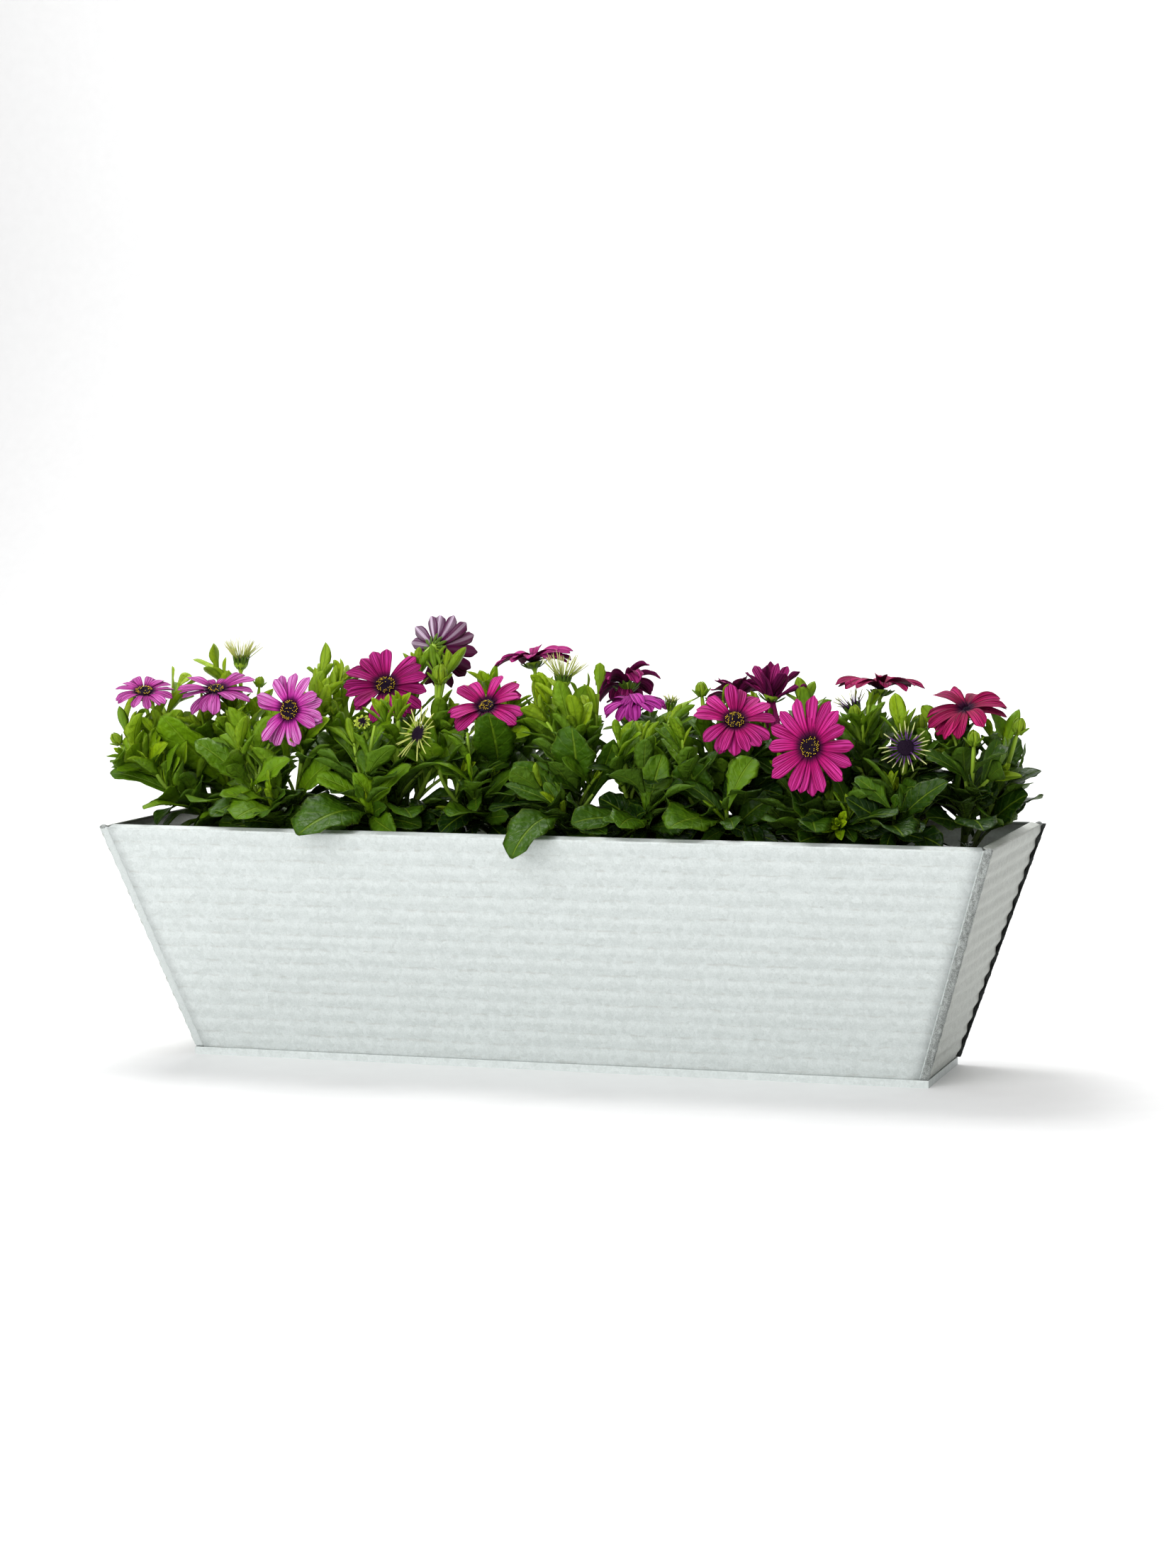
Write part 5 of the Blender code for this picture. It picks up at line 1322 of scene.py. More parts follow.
def solder_knob(name, sign_x, sign_y):
    """The small blob that closes the rim's corner."""
    draw = random.Random(SEED + 40 + sign_x * 2 + sign_y)
    mesh = bmesh.new()
    bmesh.ops.create_icosphere(mesh, subdivisions=3, radius=1.0)
    solder = mesh.verts.layers.float.new("solder")
    for vertex in mesh.verts:
        vertex[solder] = 0.9
        lump = 1 + 0.1 * math.sin(vertex.co.x * 5 + 1) * math.cos(vertex.co.y * 4)
        vertex.co = vertex.co * KNOB * (lump + draw.uniform(-0.02, 0.02))
    across, depth = TOP_LENGTH / 2 - KNOB_INSET, TOP_WIDTH / 2 - KNOB_INSET
    bmesh.ops.translate(mesh, vec=(sign_x * across, sign_y * depth, HEIGHT + 0.0002), verts=mesh.verts)
    piece(name, mesh_from(name, mesh, seam_zinc), "zinc")


for sign_x, end in ((1, "right"), (-1, "left")):
    for sign_y, face in ((-1, "front"), (1, "back")):
        cover = 0.15 if (end, face) == ("left", "front") else 1.0
        surface, proud = seam_zinc, SEAM_PROUD
        # The seam at the far right corner takes the painted shade.
        if (end, face) == ("right", "back"):
            surface, proud = shaded_far_seam, SEAM_PROUD + END_RIB_DEPTH * 1.6
        seam_bead(f"seam_{end}_{face}", sign_x, sign_y, cover, proud, surface, "end_panel_" + end)
        solder_knob(f"knob_{end}_{face}", sign_x, sign_y)
print("seams and knobs: 8")

# %% [markdown]
# The bottom is a shallow pan whose edge is hammered up round the walls. The CAD solid already has
# that form, so it stays, with rounded edges and the zinc finish.

# %% The base pan
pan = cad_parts["base_pan"]
pan.data.materials.clear()
pan.data.materials.append(zinc)
soften = pan.modifiers.new("hammered edge", "BEVEL")
soften.width = SHEET * 0.35
soften.segments = 2
soften.limit_method = "ANGLE"
print("base pan:", len(pan.data.polygons), "faces")

# %% [markdown]
# The soil fills the box as one tapered block. Its top is a grid, lifted by two layers of noise.
# Crumbs, bark and a few pale grains are scattered on it by Geometry Nodes, which pick random points
# on the top faces and put a lumpy stone on each.

# %% The soil
SOIL_CELLS = (150, 44)
SOIL_INSET = SHEET + GAP * 2
CRUMB_INPUTS = {"Per square metre": 9000.0, "Smallest": 0.0006, "Largest": 0.0024, "Seed": SEED}


def soil_reach(z):
    """How far the soil reaches from the middle at a height: along the box and across it."""
    sides = ((BASE_LENGTH, END_SLOPE), (BASE_WIDTH, FRONT_SLOPE))
    return [
        base / 2 - WALL_FOOT - SOIL_INSET * math.hypot(1, slope) + slope * (z - HEM_HEIGHT)
        for base, slope in sides
    ]


def soil_block():
    mesh = bmesh.new()
    cells_x, cells_y = SOIL_CELLS
    rows = []
    for j in range(cells_y + 1):
        row = []
        for i in range(cells_x + 1):
            x, y = 2 * i / cells_x - 1, 2 * j / cells_y - 1
            inner = min(1.0, (1 - abs(x)) * 30) * min(1.0, (1 - abs(y)) * 10)
            broad = relief.noise(Vector((x * 9, y * 3, 0.5)))
            fine = relief.noise(Vector((x * 60, y * 18, 2.5)))
            z = SOIL_TOP + SOIL_RELIEF * inner * (0.7 * broad + 0.5 * fine)
            long, wide = soil_reach(z)
            row.append(mesh.verts.new((x * long, y * wide, z)))
        rows.append(row)
    skin(mesh, rows)
    inner_rows = rows[1:-1]
    rim = rows[0] + [row[-1] for row in inner_rows] + rows[-1][::-1] + [row[0] for row in inner_rows][::-1]
    low_long, low_wide = soil_reach(SHEET + GAP)
    below = []
    for vertex in rim:
        long, wide = soil_reach(vertex.co.z)
        x, y = vertex.co.x / long * low_long, vertex.co.y / wide * low_wide
        below.append(mesh.verts.new((x, y, SHEET + GAP)))
    skin(mesh, [rim, below], closed=True)
    mesh.faces.new(below[::-1])
    bmesh.ops.recalc_face_normals(mesh, faces=mesh.faces)
    return mesh_from("soil block", mesh, earth)


def top_of(block):
    """The soil's top faces alone."""
    mesh = bmesh.new()
    mesh.from_mesh(block)
    bmesh.ops.delete(mesh, geom=[f for f in mesh.faces if f.normal.z < 0.5], context="FACES")
    return mesh_from("soil top", mesh)


def crumb_tree():
    """Scatters lumpy crumbs over a surface."""
    wire, given = new_tree("crumbs", CRUMB_INPUTS)
    seed = given["Seed"]
    inputs = {"Mesh": given["Mesh"], "Density": given["Per square metre"], "Seed": seed}
    spread = wire.out("GeometryNodeDistributePointsOnFaces", inputs)
    ball = wire.out("GeometryNodeMeshIcoSphere", {"Radius": 1.0, "Subdivisions": 1})
    at = wire.position()
    lump = wire.out("ShaderNodeTexNoise", {"Vector": at, "Scale": 1.6, "Detail": 2.0})
    ball = wire.move(ball, Position=at * (lump + 0.5))
    sizes = {"Min": given["Smallest"], "Max": given["Largest"], "Seed": seed}
    size = wire.out("FunctionNodeRandomValue", sizes)
    turns = {"Min": (0, 0, 0), "Max": (6.28, 6.28, 6.28), "Seed": 3}
    spin = wire.out("FunctionNodeRandomValue", turns, data_type="FLOAT_VECTOR")
    flat = wire.xyz(size, size * 0.8, size * 0.6)
    inputs = {"Points": spread, "Instance": ball, "Rotation": spin, "Scale": flat}
    return close_tree(wire, wire.out("GeometryNodeInstanceOnPoints", inputs), given["Material"])


block = soil_block()
crumbs = crumb_tree()
for name, surface, *values in (
    ("soil_crumbs", earth, 16000.0, 0.0008, 0.0024, 1),
    ("soil_bark", bark, 2600.0, 0.001, 0.0034, 2),
    ("soil_grains", grit, 900.0, 0.0006, 0.0016, 3),
):
    settings = {**dict(zip(CRUMB_INPUTS, values)), "Material": surface}
    made = run_tree(name, top_of(block), crumbs, settings)
    piece(name, made, "soil")
    print(name, len(made.polygons), "faces")
piece("soil_block", block, "soil", "soil")

# %% [markdown]
# A leaf, a petal, a bract and a withered strand are the same thing at heart: a thin blade that runs
# from a root to a tip, bends on the way, and may fold along its middle, roll up, twist or ripple. It
# could be modelled once and placed by hand. With more than a thousand of them, one Geometry Nodes
# tree is better: it puts a flat two-sided grid on each root point and shapes it from the numbers that
# the point carries, so no two blades are alike.

# %% Blades as points that carry numbers
Blade = namedtuple(
    "Blade",
    "root tip face width bend twist curl sweep age form",
    defaults=(0.0, 0.0, 0.0, 0.5, 0.0),
)
VECTORS = ("root", "ahead", "rise")
NUMBERS = ("long", "wide", "bend", "twist", "curl", "sweep", "age", "form", "tone")
KEPT = ("age", "tone")


def blade_roots(blades, seed):
    """A mesh of bare points, one for each blade. Each carries its blade's numbers."""
    draw = random.Random(seed)
    rows = {name: [] for name in VECTORS + NUMBERS}
    for blade in blades:
        chord = Vector(blade.tip) - Vector(blade.root)
        ahead = chord.normalized()
        side = ahead.cross(Vector(blade.face)).normalized()
        bend = math.radians(blade.bend if abs(blade.bend) > 1 else 1)
        for name, vector in zip(VECTORS, (blade.root, ahead, side.cross(ahead))):
            rows[name] += list(vector)
        for name, value in zip(NUMBERS, (chord.length, blade.width, bend, *blade[5:], draw.random())):
            rows[name].append(value)
    data = bpy.data.meshes.new("roots")
    data.from_pydata([tuple(blade.root) for blade in blades], [], [])
    for name, values in rows.items():
        kind, field = ("FLOAT_VECTOR", "vector") if name in VECTORS else ("FLOAT", "value")
        data.attributes.new(name, kind, "POINT").data.foreach_set(field, values)
    return data


print("a blade has", len(Blade._fields), "numbers")

# %% [markdown]
# The outline is a curve of half-widths from root to tip. A kind of blade has two, and each blade
# mixes them in its own share. Its bend is an arc of a circle, as in the CAD model.

# %% The blade tree
BLADE_INPUTS = {
    "Thickness": 0.0008,
    "Fold": 0.0,
    "Ripple": 0.0,
    "Waves": 9.0,
    "Groove": 0.0,
    "Teeth": 0.0,
    "Round tip": 0.0,
}
TEETH = 5
GROOVE_WIDTH = 0.13


def blade_shell(wire, cells):
    """A flat blade of two layers that meet at the edge. Its points know their place on it."""
    sizes = {"Size X": 2.0, "Size Y": 1.0, "Vertices X": cells[0] + 1, "Vertices Y": cells[1] + 1}
    flat = wire.out("GeometryNodeMeshGrid", sizes)
    x, y, _ = wire.parts(wire.position())
    step = y + 0.5
    flat = wire.store(wire.store(flat, "across", x), "along", step * 1.4 - step * step * 0.4)
    share = wire.read("along")
    bulge = (1 - abs(wire.read("across")) ** 3) * (share * (1 - share) * 12.0).clamp()
    layers = []
    for sign in (1.0, -1.0):
        layer = wire.move(flat, Offset=wire.xyz(0.0, 0.0, bulge * (0.1 * sign)))
        layer = wire.store(layer, "face", bulge * sign)
        layers.append(layer if sign > 0 else wire.out("GeometryNodeFlipFaces", {"Mesh": layer}))
    return wire.out("GeometryNodeMergeByDistance", {"Geometry": wire.join(layers), "Distance": 0.001})


def blade_tree(name, cells, outline, other):
    """A tree that turns points into blades. cells is how many faces each is across and along."""
    wire, given = new_tree(name, BLADE_INPUTS)
    inputs = {"Points": given["Mesh"], "Instance": blade_shell(wire, cells)}
    placed = wire.out("GeometryNodeInstanceOnPoints", inputs)
    real = wire.out("GeometryNodeRealizeInstances", {"Geometry": placed})

    root, ahead, rise = (wire.read(label, "FLOAT_VECTOR") for label in VECTORS)
    long, wide, bend, twist, curl, sweep, _, form, tone = (wire.read(label) for label in NUMBERS)
    across, share = wire.read("across"), wire.read("along")
    out = abs(across)
    side = wire.vector("CROSS_PRODUCT", ahead, rise)
    first, second = share.curve(outline), share.curve(other)
    half = wide * 0.5 * (first + form * (second - first))
    place = share - given["Round tip"] * (across * across * share**6)
    start = bend * 0.5
    angle = start - bend * place
    radius = long * 0.5 / start.sine()
    sine, cosine = angle.sine(), angle.cosine()
    forth = radius * (start.sine() - sine)
    lifted = radius * (cosine - start.cosine())
    swerve = sweep * long * (share * (1 - share) * 4.0)
    normal = rise * cosine - ahead * sine
    turned, raised = (twist * place).sine(), (twist * place).cosine()
    wing = side * raised + normal * turned
    above = normal * raised - side * turned

    curl += 0.002
    roll = curl * across
    tooth = abs((share * (TEETH * math.pi)).sine()) ** 3
    tooth = tooth * share.smooth(0.3, 0.5) * (given["Teeth"] * out**3)
    wide_part = half * (roll.sine() / curl) * (tooth + 1.0)
    high_part = half * ((1 - roll.cosine()) / curl) + given["Fold"] * (out * half)
    wave = (share * given["Waves"] + tone * 40.0).sine()
    high_part += given["Ripple"] * wave * (half * across**3)
    ridge = (out - GROOVE_PLACE) / GROOVE_WIDTH
    high_part -= given["Groove"] * wire.math("EXPONENT", ridge * ridge * -1.0) * half
    high_part += wire.read("face") * 0.5 * given["Thickness"]
    spot = root + ahead * forth + rise * lifted + side * swerve + wing * wide_part + above * high_part
    return close_tree(wire, wire.move(real, Position=spot), given["Material"])


print("a blade tree has", len(BLADE_INPUTS), "inputs of its own")

# %% [markdown]
# Large leaves widen past the middle, or stay slim like a lance. Small ones are tongues, petals are
# widest near the end, and a withered strand hardly narrows.

# %% Outlines from root to tip
BROAD = (
    (0, 0.1), (0.15, 0.2), (0.3, 0.4), (0.45, 0.7), (0.6, 0.95),
    (0.72, 1.0), (0.86, 0.84), (0.95, 0.52), (1, 0.1),
)
LANCE = (
    (0, 0.12), (0.15, 0.3), (0.3, 0.55), (0.45, 0.85), (0.58, 1.0),
    (0.72, 0.88), (0.86, 0.56), (0.95, 0.27), (1, 0.03),
)
TONGUE = ((0, 0.22), (0.3, 0.62), (0.6, 1.0), (0.8, 0.86), (0.92, 0.52), (1, 0.05))
SLIM = ((0, 0.34), (0.3, 0.75), (0.55, 1.0), (0.78, 0.78), (0.92, 0.42), (1, 0.03))
PETAL = ((0, 0.4), (0.15, 0.56), (0.4, 0.82), (0.65, 0.98), (0.8, 1.0), (0.9, 0.93), (0.96, 0.78), (1, 0.5))
NARROW_PETAL = ((0, 0.36), (0.2, 0.6), (0.45, 0.86), (0.65, 1.0), (0.82, 0.93), (0.93, 0.72), (1, 0.4))
STRAND = ((0, 0.8), (0.3, 1.0), (0.7, 0.9), (1, 0.55))


def grow_blades(name, blades, tree, surface, slot, nodes, seed, **sizes):
    """Runs a blade tree and keeps the result as a piece."""
    settings = {label.replace("_", " ").capitalize(): value for label, value in sizes.items()}
    data = run_tree(name, blade_roots(blades, seed), tree, {**settings, "Material": surface})
    for label in VECTORS + NUMBERS:
        if label not in KEPT:
            data.attributes.remove(data.attributes[label])
    return piece(name, data, slot, *nodes)


large_leaves = blade_tree("large leaves", (6, 14), BROAD, LANCE)
small_leaves = blade_tree("small leaves", (4, 8), TONGUE, SLIM)
petals_tree = blade_tree("petals", (8, 14), PETAL, NARROW_PETAL)
strands_tree = blade_tree("strands", (4, 9), STRAND, SLIM)
print("blade tree:", len(large_leaves.nodes), "nodes")

# %% [markdown]
# Stems are tubes swept along their curves. A second tree does that: it takes bare lines whose points
# carry a radius. A bud's core and the green cup under a head are the same line, going on thicker.

# %% Stems, cups and bud cores
SMOOTH_STEPS = 18
CUP = ((-0.004, 0.0013), (-0.0022, 0.0021), (-0.0004, 0.004), (0.0012, 0.005), (0.003, 0.0054))
BUD = ((0.0, 0.3), (0.12, 0.7), (0.35, 0.98), (0.6, 0.92), (0.85, 0.56), (1.05, 0.14))


def stem_tree():
    wire, given = new_tree("stems", {"Sides": 8})
    line = wire.out("GeometryNodeMeshToCurve", {"Mesh": given["Mesh"]})
    ring = wire.out("GeometryNodeCurvePrimitiveCircle", {"Resolution": given["Sides"], "Radius": 1.0})
    inputs = {"Curve": line, "Profile Curve": ring, "Scale": wire.read("thick"), "Fill Caps": True}
    return close_tree(wire, wire.out("GeometryNodeCurveToMesh", inputs), given["Material"])


def line_mesh(lines):
    """Lines as bare edges. Each line is a list of points and a list of their radii."""
    points, edges, thick = [], [], []
    for line, radii in lines:
        edges += [(len(points) + i, len(points) + i + 1) for i in range(len(line) - 1)]
        points += [tuple(point) for point in line]
        thick += radii
    data = bpy.data.meshes.new("lines")
    data.from_pydata(points, edges, [])
    data.attributes.new("thick", "FLOAT", "POINT").data.foreach_set("value", thick)
    return data


def head_scale(shoot):
    return 0.7 if shoot.across < SMALL_HEAD else 1.0


def stem_line(shoot, path):
    """A stem's points and radii, with the cup or the bud that it ends in."""
    axis, tip = unit(shoot.facing), Vector(shoot.tip)
    points, thick = list(path), [float(r) for r in np.linspace(STEM_RADIUS, STALK_RADIUS * 1.1, len(path))]
    if shoot.kind in ("bloom", "spent"):
        points[-1:] = [tip + axis * high for high, _ in CUP]
        thick[-1:] = [max(radius * head_scale(shoot), STALK_RADIUS) for _, radius in CUP]
    elif shoot.kind == "bud":
        points[-1:] = [tip + axis * shoot.across * high for high, _ in BUD]
        thick[-1:] = [shoot.across / 2 * 0.86 * share for _, share in BUD]
    return points, thick


stems_tree = stem_tree()
print("stem tree:", len(stems_tree.nodes), "nodes")

# %% [markdown]
# The green cup of a head is a ring of narrow bracts, and a bud is wrapped in them. They are blades
# that stand round the stem's end.

# %% Bracts
BRACTS = 12
# How many bracts each ring of a bud has, how far out they root, how far up and out they reach, in
# shares of the bud's width, and how they bend.
BUD_RINGS = ((6, 0.3, 1.16, 0.1, -95), (7, 0.24, 0.98, 0.34, -70), (5, 0.16, 0.62, 0.78, -20))


def cup_bracts(shoot, draw):
    """The pointed green bracts under a head."""
    axis, tip = unit(shoot.facing), Vector(shoot.tip)
    scale = head_scale(shoot)
    spread, high = (0.0062, 0.009) if shoot.kind == "spent" and axis.z > UPRIGHT else (0.0098, 0.003)
    made = []
    for out in spokes(axis, BRACTS, 0.15, draw):
        root = tip + axis * -0.0016 * scale + out * 0.003 * scale
        end = tip + (out * spread + axis * high) * scale * draw.uniform(0.92, 1.1)
        made.append(Blade(root, end, -out, 0.0026 * scale, -25, draw.uniform(-0.2, 0.2), 0.4, 0, 0.55, 1.0))
    return made


def bud_bracts(shoot, draw):
    """Two rings of bracts that wrap a bud, and a few that stand off it."""
    axis, tip, size = unit(shoot.facing), Vector(shoot.tip), shoot.across
    made = []
    for ring, (count, low, high, top, bend) in enumerate(BUD_RINGS):
        for out in spokes(axis, count, 0.12, draw, ring * 0.5):
            root = tip + out * size * low
            end = tip + axis * size * high * draw.uniform(0.94, 1.06) + out * size * top
            made.append(Blade(root, end, -out, size * 0.42, bend, 0, 0.7, 0, 0.04 + 0.1 * ring, 0.7))
    return made


print("bracts per head:", BRACTS)

# %% [markdown]
# The photograph shows a dense cushion of leaves. Every stem therefore gets leaves all the way up, each
# turned by the golden angle from the last: broad and drooping below, slim and upright near the top,
# and a tight lime tuft at the end. A leaf is tried in a few positions, and kept where it stays clear of
# the box, off the flowers, out of their way as the camera sees them, and out of crowded places.

# %% Room for a leaf
HEAD_ROOM = 0.0022
HEAD_MARGIN = 0.004
VIEW_CELL = 0.0035
CROWD_CELL = 0.0045
CROWD_SHARE = 0.3
# How far to each side the camera sees leaves, in metres on the middle plane, and how the edge waves.
SIDE_LIMITS = (-0.346, 0.315)
EDGE_WAVE = 0.016
# Places where the white background shows between leaves, as seen from the camera on the box's
# middle plane: x, z and half sizes.
WINDOWS = (
    (-0.24, 0.186, 0.006, 0.005),
    (-0.201, 0.186, 0.01, 0.004),
    (-0.104, 0.182, 0.02, 0.006),
    (0.021, 0.183, 0.012, 0.009),
    (0.027, 0.215, 0.004, 0.01),
    (0.12, 0.175, 0.006, 0.005),
    (-0.32, 0.174, 0.019, 0.011),
    (0.258, 0.166, 0.009, 0.006),
    (0.292, 0.165, 0.014, 0.008),
    (0.222, 0.179, 0.005, 0.004),
)


def seen_at(point):
    """Where the camera sees a point on the box's middle plane, and how far away the point is."""
    ray = Vector(point) - CAMERA_PLACE
    share = -CAMERA_PLACE.y / ray.y
    return CAMERA_PLACE.x + ray.x * share, CAMERA_PLACE.z + ray.z * share, ray.length


def cell_of(x, z):
    return round(x / VIEW_CELL), round(z / VIEW_CELL)


head_points = []
for plant in grown.values():
    for i, blades in plant["blooms"].items():
        steps = 10 if plant["shoots"][i].kind == "bloom" else 6
        for blade in blades:
            head_points += [Vector(p) for p in blade_points(*blade, RAY, steps=steps)]
heads = KDTree(len(head_points))
for i, point in enumerate(head_points):
    heads.insert(point, i)
heads.balance()
head_cells = {}
for point in head_points:
    x, z, far = seen_at(point)
    cell = cell_of(x, z)
    head_cells[cell] = min(far, head_cells.get(cell, far))
filled = {}
print("head points:", len(head_points), "cells:", len(head_cells))


def crosses_head(x, z, far):
    """True where a head is seen behind this place."""
    return far < head_cells.get(cell_of(x, z), 0.0) - HEAD_MARGIN


def near_cell(point):
    return tuple(round(float(c) / CROWD_CELL) for c in point)


def free(points, own):
    """True where a leaf with these points has room."""
    if not clear_of_box(points):
        return False
    crowded = 0
    for point in points:
        x, z, far = seen_at(point)
        inward = EDGE_WAVE * (0.5 + 0.5 * math.sin(z * 170 + 2.2))
        if not SIDE_LIMITS[0] + inward < x < SIDE_LIMITS[1] - inward:
            return False
        if any(abs(x - wx) < hx and abs(z - wz) < hz for wx, wz, hx, hz in WINDOWS):
            return False
        if crosses_head(x, z, far) or heads.find(Vector(point))[2] < HEAD_ROOM:
            return False
        crowded += filled.get(near_cell(point), own) != own
    return crowded < CROWD_SHARE * len(points)


def fill(points, own):
    for point in points:
        filled[near_cell(point)] = own


# %% [markdown]
# Leafy twigs fill the cushion between the flowers. Some have a tip that the eye picks out, and two
# grow from each stem wherever their tip finds room.

# %% Side twigs
# Tips of leafy twigs that stand out in the cushion.
TWIG_TIPS = (
    (-0.301, 0.03, 0.249), (-0.279, 0.05, 0.259), (-0.324, -0.01, 0.224), (-0.318, -0.03, 0.205),
    (-0.308, 0.0, 0.226), (-0.28, 0.03, 0.234), (-0.18, 0.0, 0.263), (-0.17, 0.004, 0.258),
    (-0.162, -0.006, 0.258), (-0.168, -0.03, 0.244), (-0.247, 0.0, 0.226), (-0.106, -0.045, 0.246),
    (-0.124, 0.04, 0.272), (-0.096, 0.0, 0.258), (-0.101, 0.05, 0.264), (-0.012, -0.02, 0.252),
    (0.003, -0.03, 0.248), (-0.011, -0.034, 0.238), (0.014, 0.02, 0.258), (0.004, 0.022, 0.248),
    (0.046, -0.045, 0.228), (0.062, -0.045, 0.226), (0.051, -0.028, 0.232), (0.084, 0.02, 0.252),
    (0.077, -0.02, 0.238), (0.092, -0.05, 0.224), (0.195, 0.0, 0.248), (0.208, -0.01, 0.246),
    (0.208, -0.03, 0.238), (0.234, -0.03, 0.233), (0.254, -0.01, 0.234), (0.265, -0.02, 0.23),
    (0.245, -0.05, 0.23), (0.287, 0.0, 0.228), (0.296, -0.004, 0.22), (-0.143, -0.04, 0.222),
    (-0.123, -0.05, 0.229), (-0.064, -0.03, 0.224), (-0.042, 0.0, 0.24), (-0.068, 0.03, 0.252),
    (0.121, 0.03, 0.25), (0.098, 0.03, 0.245), (0.157, 0.03, 0.246), (-0.214, 0.0, 0.224),
    (-0.216, -0.03, 0.22),
)
# Tips that stand in front of a bloom.
BOLD_TIPS = (
    (-0.117, 0.02, 0.267), (-0.104, 0.018, 0.269), (-0.094, 0.016, 0.267),
    (-0.122, -0.036, 0.236), (-0.112, -0.036, 0.24),
)
TWIG_REACH = 0.046
TWIG_ROOM = 0.007
TWIG_STEPS = 8
# How far twigs reach out over the walls
TWIG_OUT = 0.006


def snapped(root, paths):
    """The point of the stems nearest to a leaf's root."""
    found = [along(path, i / 60)[0] for path in paths for i in range(61)]
    return min(found, key=lambda point: (point - Vector(root)).length)


def twig(root, heading, tip):
    """A side twig as a shoot with its path, which leaves the stem along it and ends upright."""
    tip = Vector(tip)
    long = (tip - root).length
    bow = root + (heading + (tip - root).normalized()) * long * 0.25
    shares = [i / TWIG_STEPS for i in range(TWIG_STEPS + 1)]
    path = [(1 - t) ** 2 * root + 2 * t * (1 - t) * bow + t * t * tip for t in shares]
    return Shoot("leafy", tuple(tip), tuple(path[-1] - path[-2]), 0, 0), path


def hides(points):
    """True where a point lies in front of a head, as the camera sees it."""
    return any(crosses_head(*seen_at(point)) for point in points)


def marked_twigs(tips, name, paths):
    """The twigs with these tips that belong to a plant, from the nearest place on its stems."""
    spots = [along(path, i / 20) for path in paths for i in range(2, 19)]
    found = []
    for x, y, z in tips:
        if name == min(grown, key=lambda other: abs(grown[other]["crown"][0] - x)):
            below = Vector((x, y, z - TWIG_REACH))
            root, heading = min(spots, key=lambda spot: (spot[0] - below).length)
            found.append(twig(root, heading, (x, y, z)))
    return found


def twigs_of(name, paths, draw):
    """The twigs of a plant: those that stand out, and two from the axils of each stem."""
    found = [made for made in marked_twigs(TWIG_TIPS, name, paths) if not hides(made[1][3:])]
    for path in paths:
        turn = draw.uniform(0, 2 * math.pi)
        for share in (0.3, 0.5):
            root, heading = along(path, share + draw.uniform(-0.04, 0.04))
            side, other = across_of(heading)
            for _ in range(4):
                turn += GOLDEN_ANGLE
                out = swung(side, other, turn)
                tip = root + (heading * 0.5 + out * 0.6 + UP * 0.4) * draw.uniform(0.02, 0.034)
                made = twig(root, heading, tip)
                if not hides(made[1][3:]) and heads.find(tip)[2] > TWIG_ROOM and wall_depth(tip) < TWIG_OUT:
                    found.append(made)
                    break
    return found


print("twigs with a place of their own:", len(TWIG_TIPS) + len(BOLD_TIPS))

# %% [markdown]
# There are four kinds of leaf: those that the CAD model has, broad ones low down, the many along each
# stem, and the tight tuft at its end. Leaf age runs from 0, just unfolded at the tip of a shoot, to 1,
# old and dark near the soil. Painted shade is added to it, so leaves towards the right look darker.

# %% Four kinds of leaf
def shape_of(draw, age):
    """Twist, curl, sweep, age with its painted shade, and the share of the slimmer outline."""
    return draw.uniform(-0.5, 0.5), draw.uniform(-0.1, 0.55), draw.uniform(-0.05, 0.05), age, draw.random()


# Leaves whose tips are lower than these hang over the rim.
RIM_LEAF = 0.18
HANGING_LEAF = 0.162
# Painted shade on the leaves: for each metre to the right, this much is added to a leaf's age, which
# darkens it. The left end, up to this edge, is in full light and gets a step less.
SHADE = 1.3
SHADE_STEP = 0.09
SHADE_EDGE = -0.27
SHADE_FADE = 0.05


def in_shade(x):
    return SHADE * x + SHADE_STEP * min(max((x - SHADE_EDGE) / SHADE_FADE, 0.0), 1.0)


def placed_leaves(plant, paths, draw):
    """The leaves that the CAD model has, on the smooth stems."""
    made = []
    for root, tip, face, width, bend, outline in plant["leaves"]:
        age = min(max(1.0 - (tip.z - 0.16) / 0.1, 0.12), 1.0) * draw.uniform(0.85, 1.1)
        twist, curl, sweep, age, form = shape_of(draw, age)
        if outline is SMALL_LEAF:
            age *= 0.75
        if outline is LARGE_LEAF:
            width, curl, form = width * 1.28, curl * 0.35, form * 0.3
            age = age * 0.62 if tip.z < RIM_LEAF else max(age, 0.6)
        if tip.z < HANGING_LEAF:
            width, face = width * 0.95, face + Vector((0.25, 0, 0))
        # Painted shade: leaves towards the right are darkened through their age.
        age = max(age + in_shade(tip.x) * 0.6, 0.1)
        made.append(Blade(snapped(root, paths), tip, face, width, bend, twist * 0.5, curl, sweep, age, form))
    return made


SKIRT = 26
END_SKIRT = 13
END_CROWN = 0.24
# The lowest tips of the low leaves and of all others, and how far out of the box low ones reach
SKIRT_FLOOR = 0.142
LEAF_FLOOR = 0.15
OUTREACH = 0.012


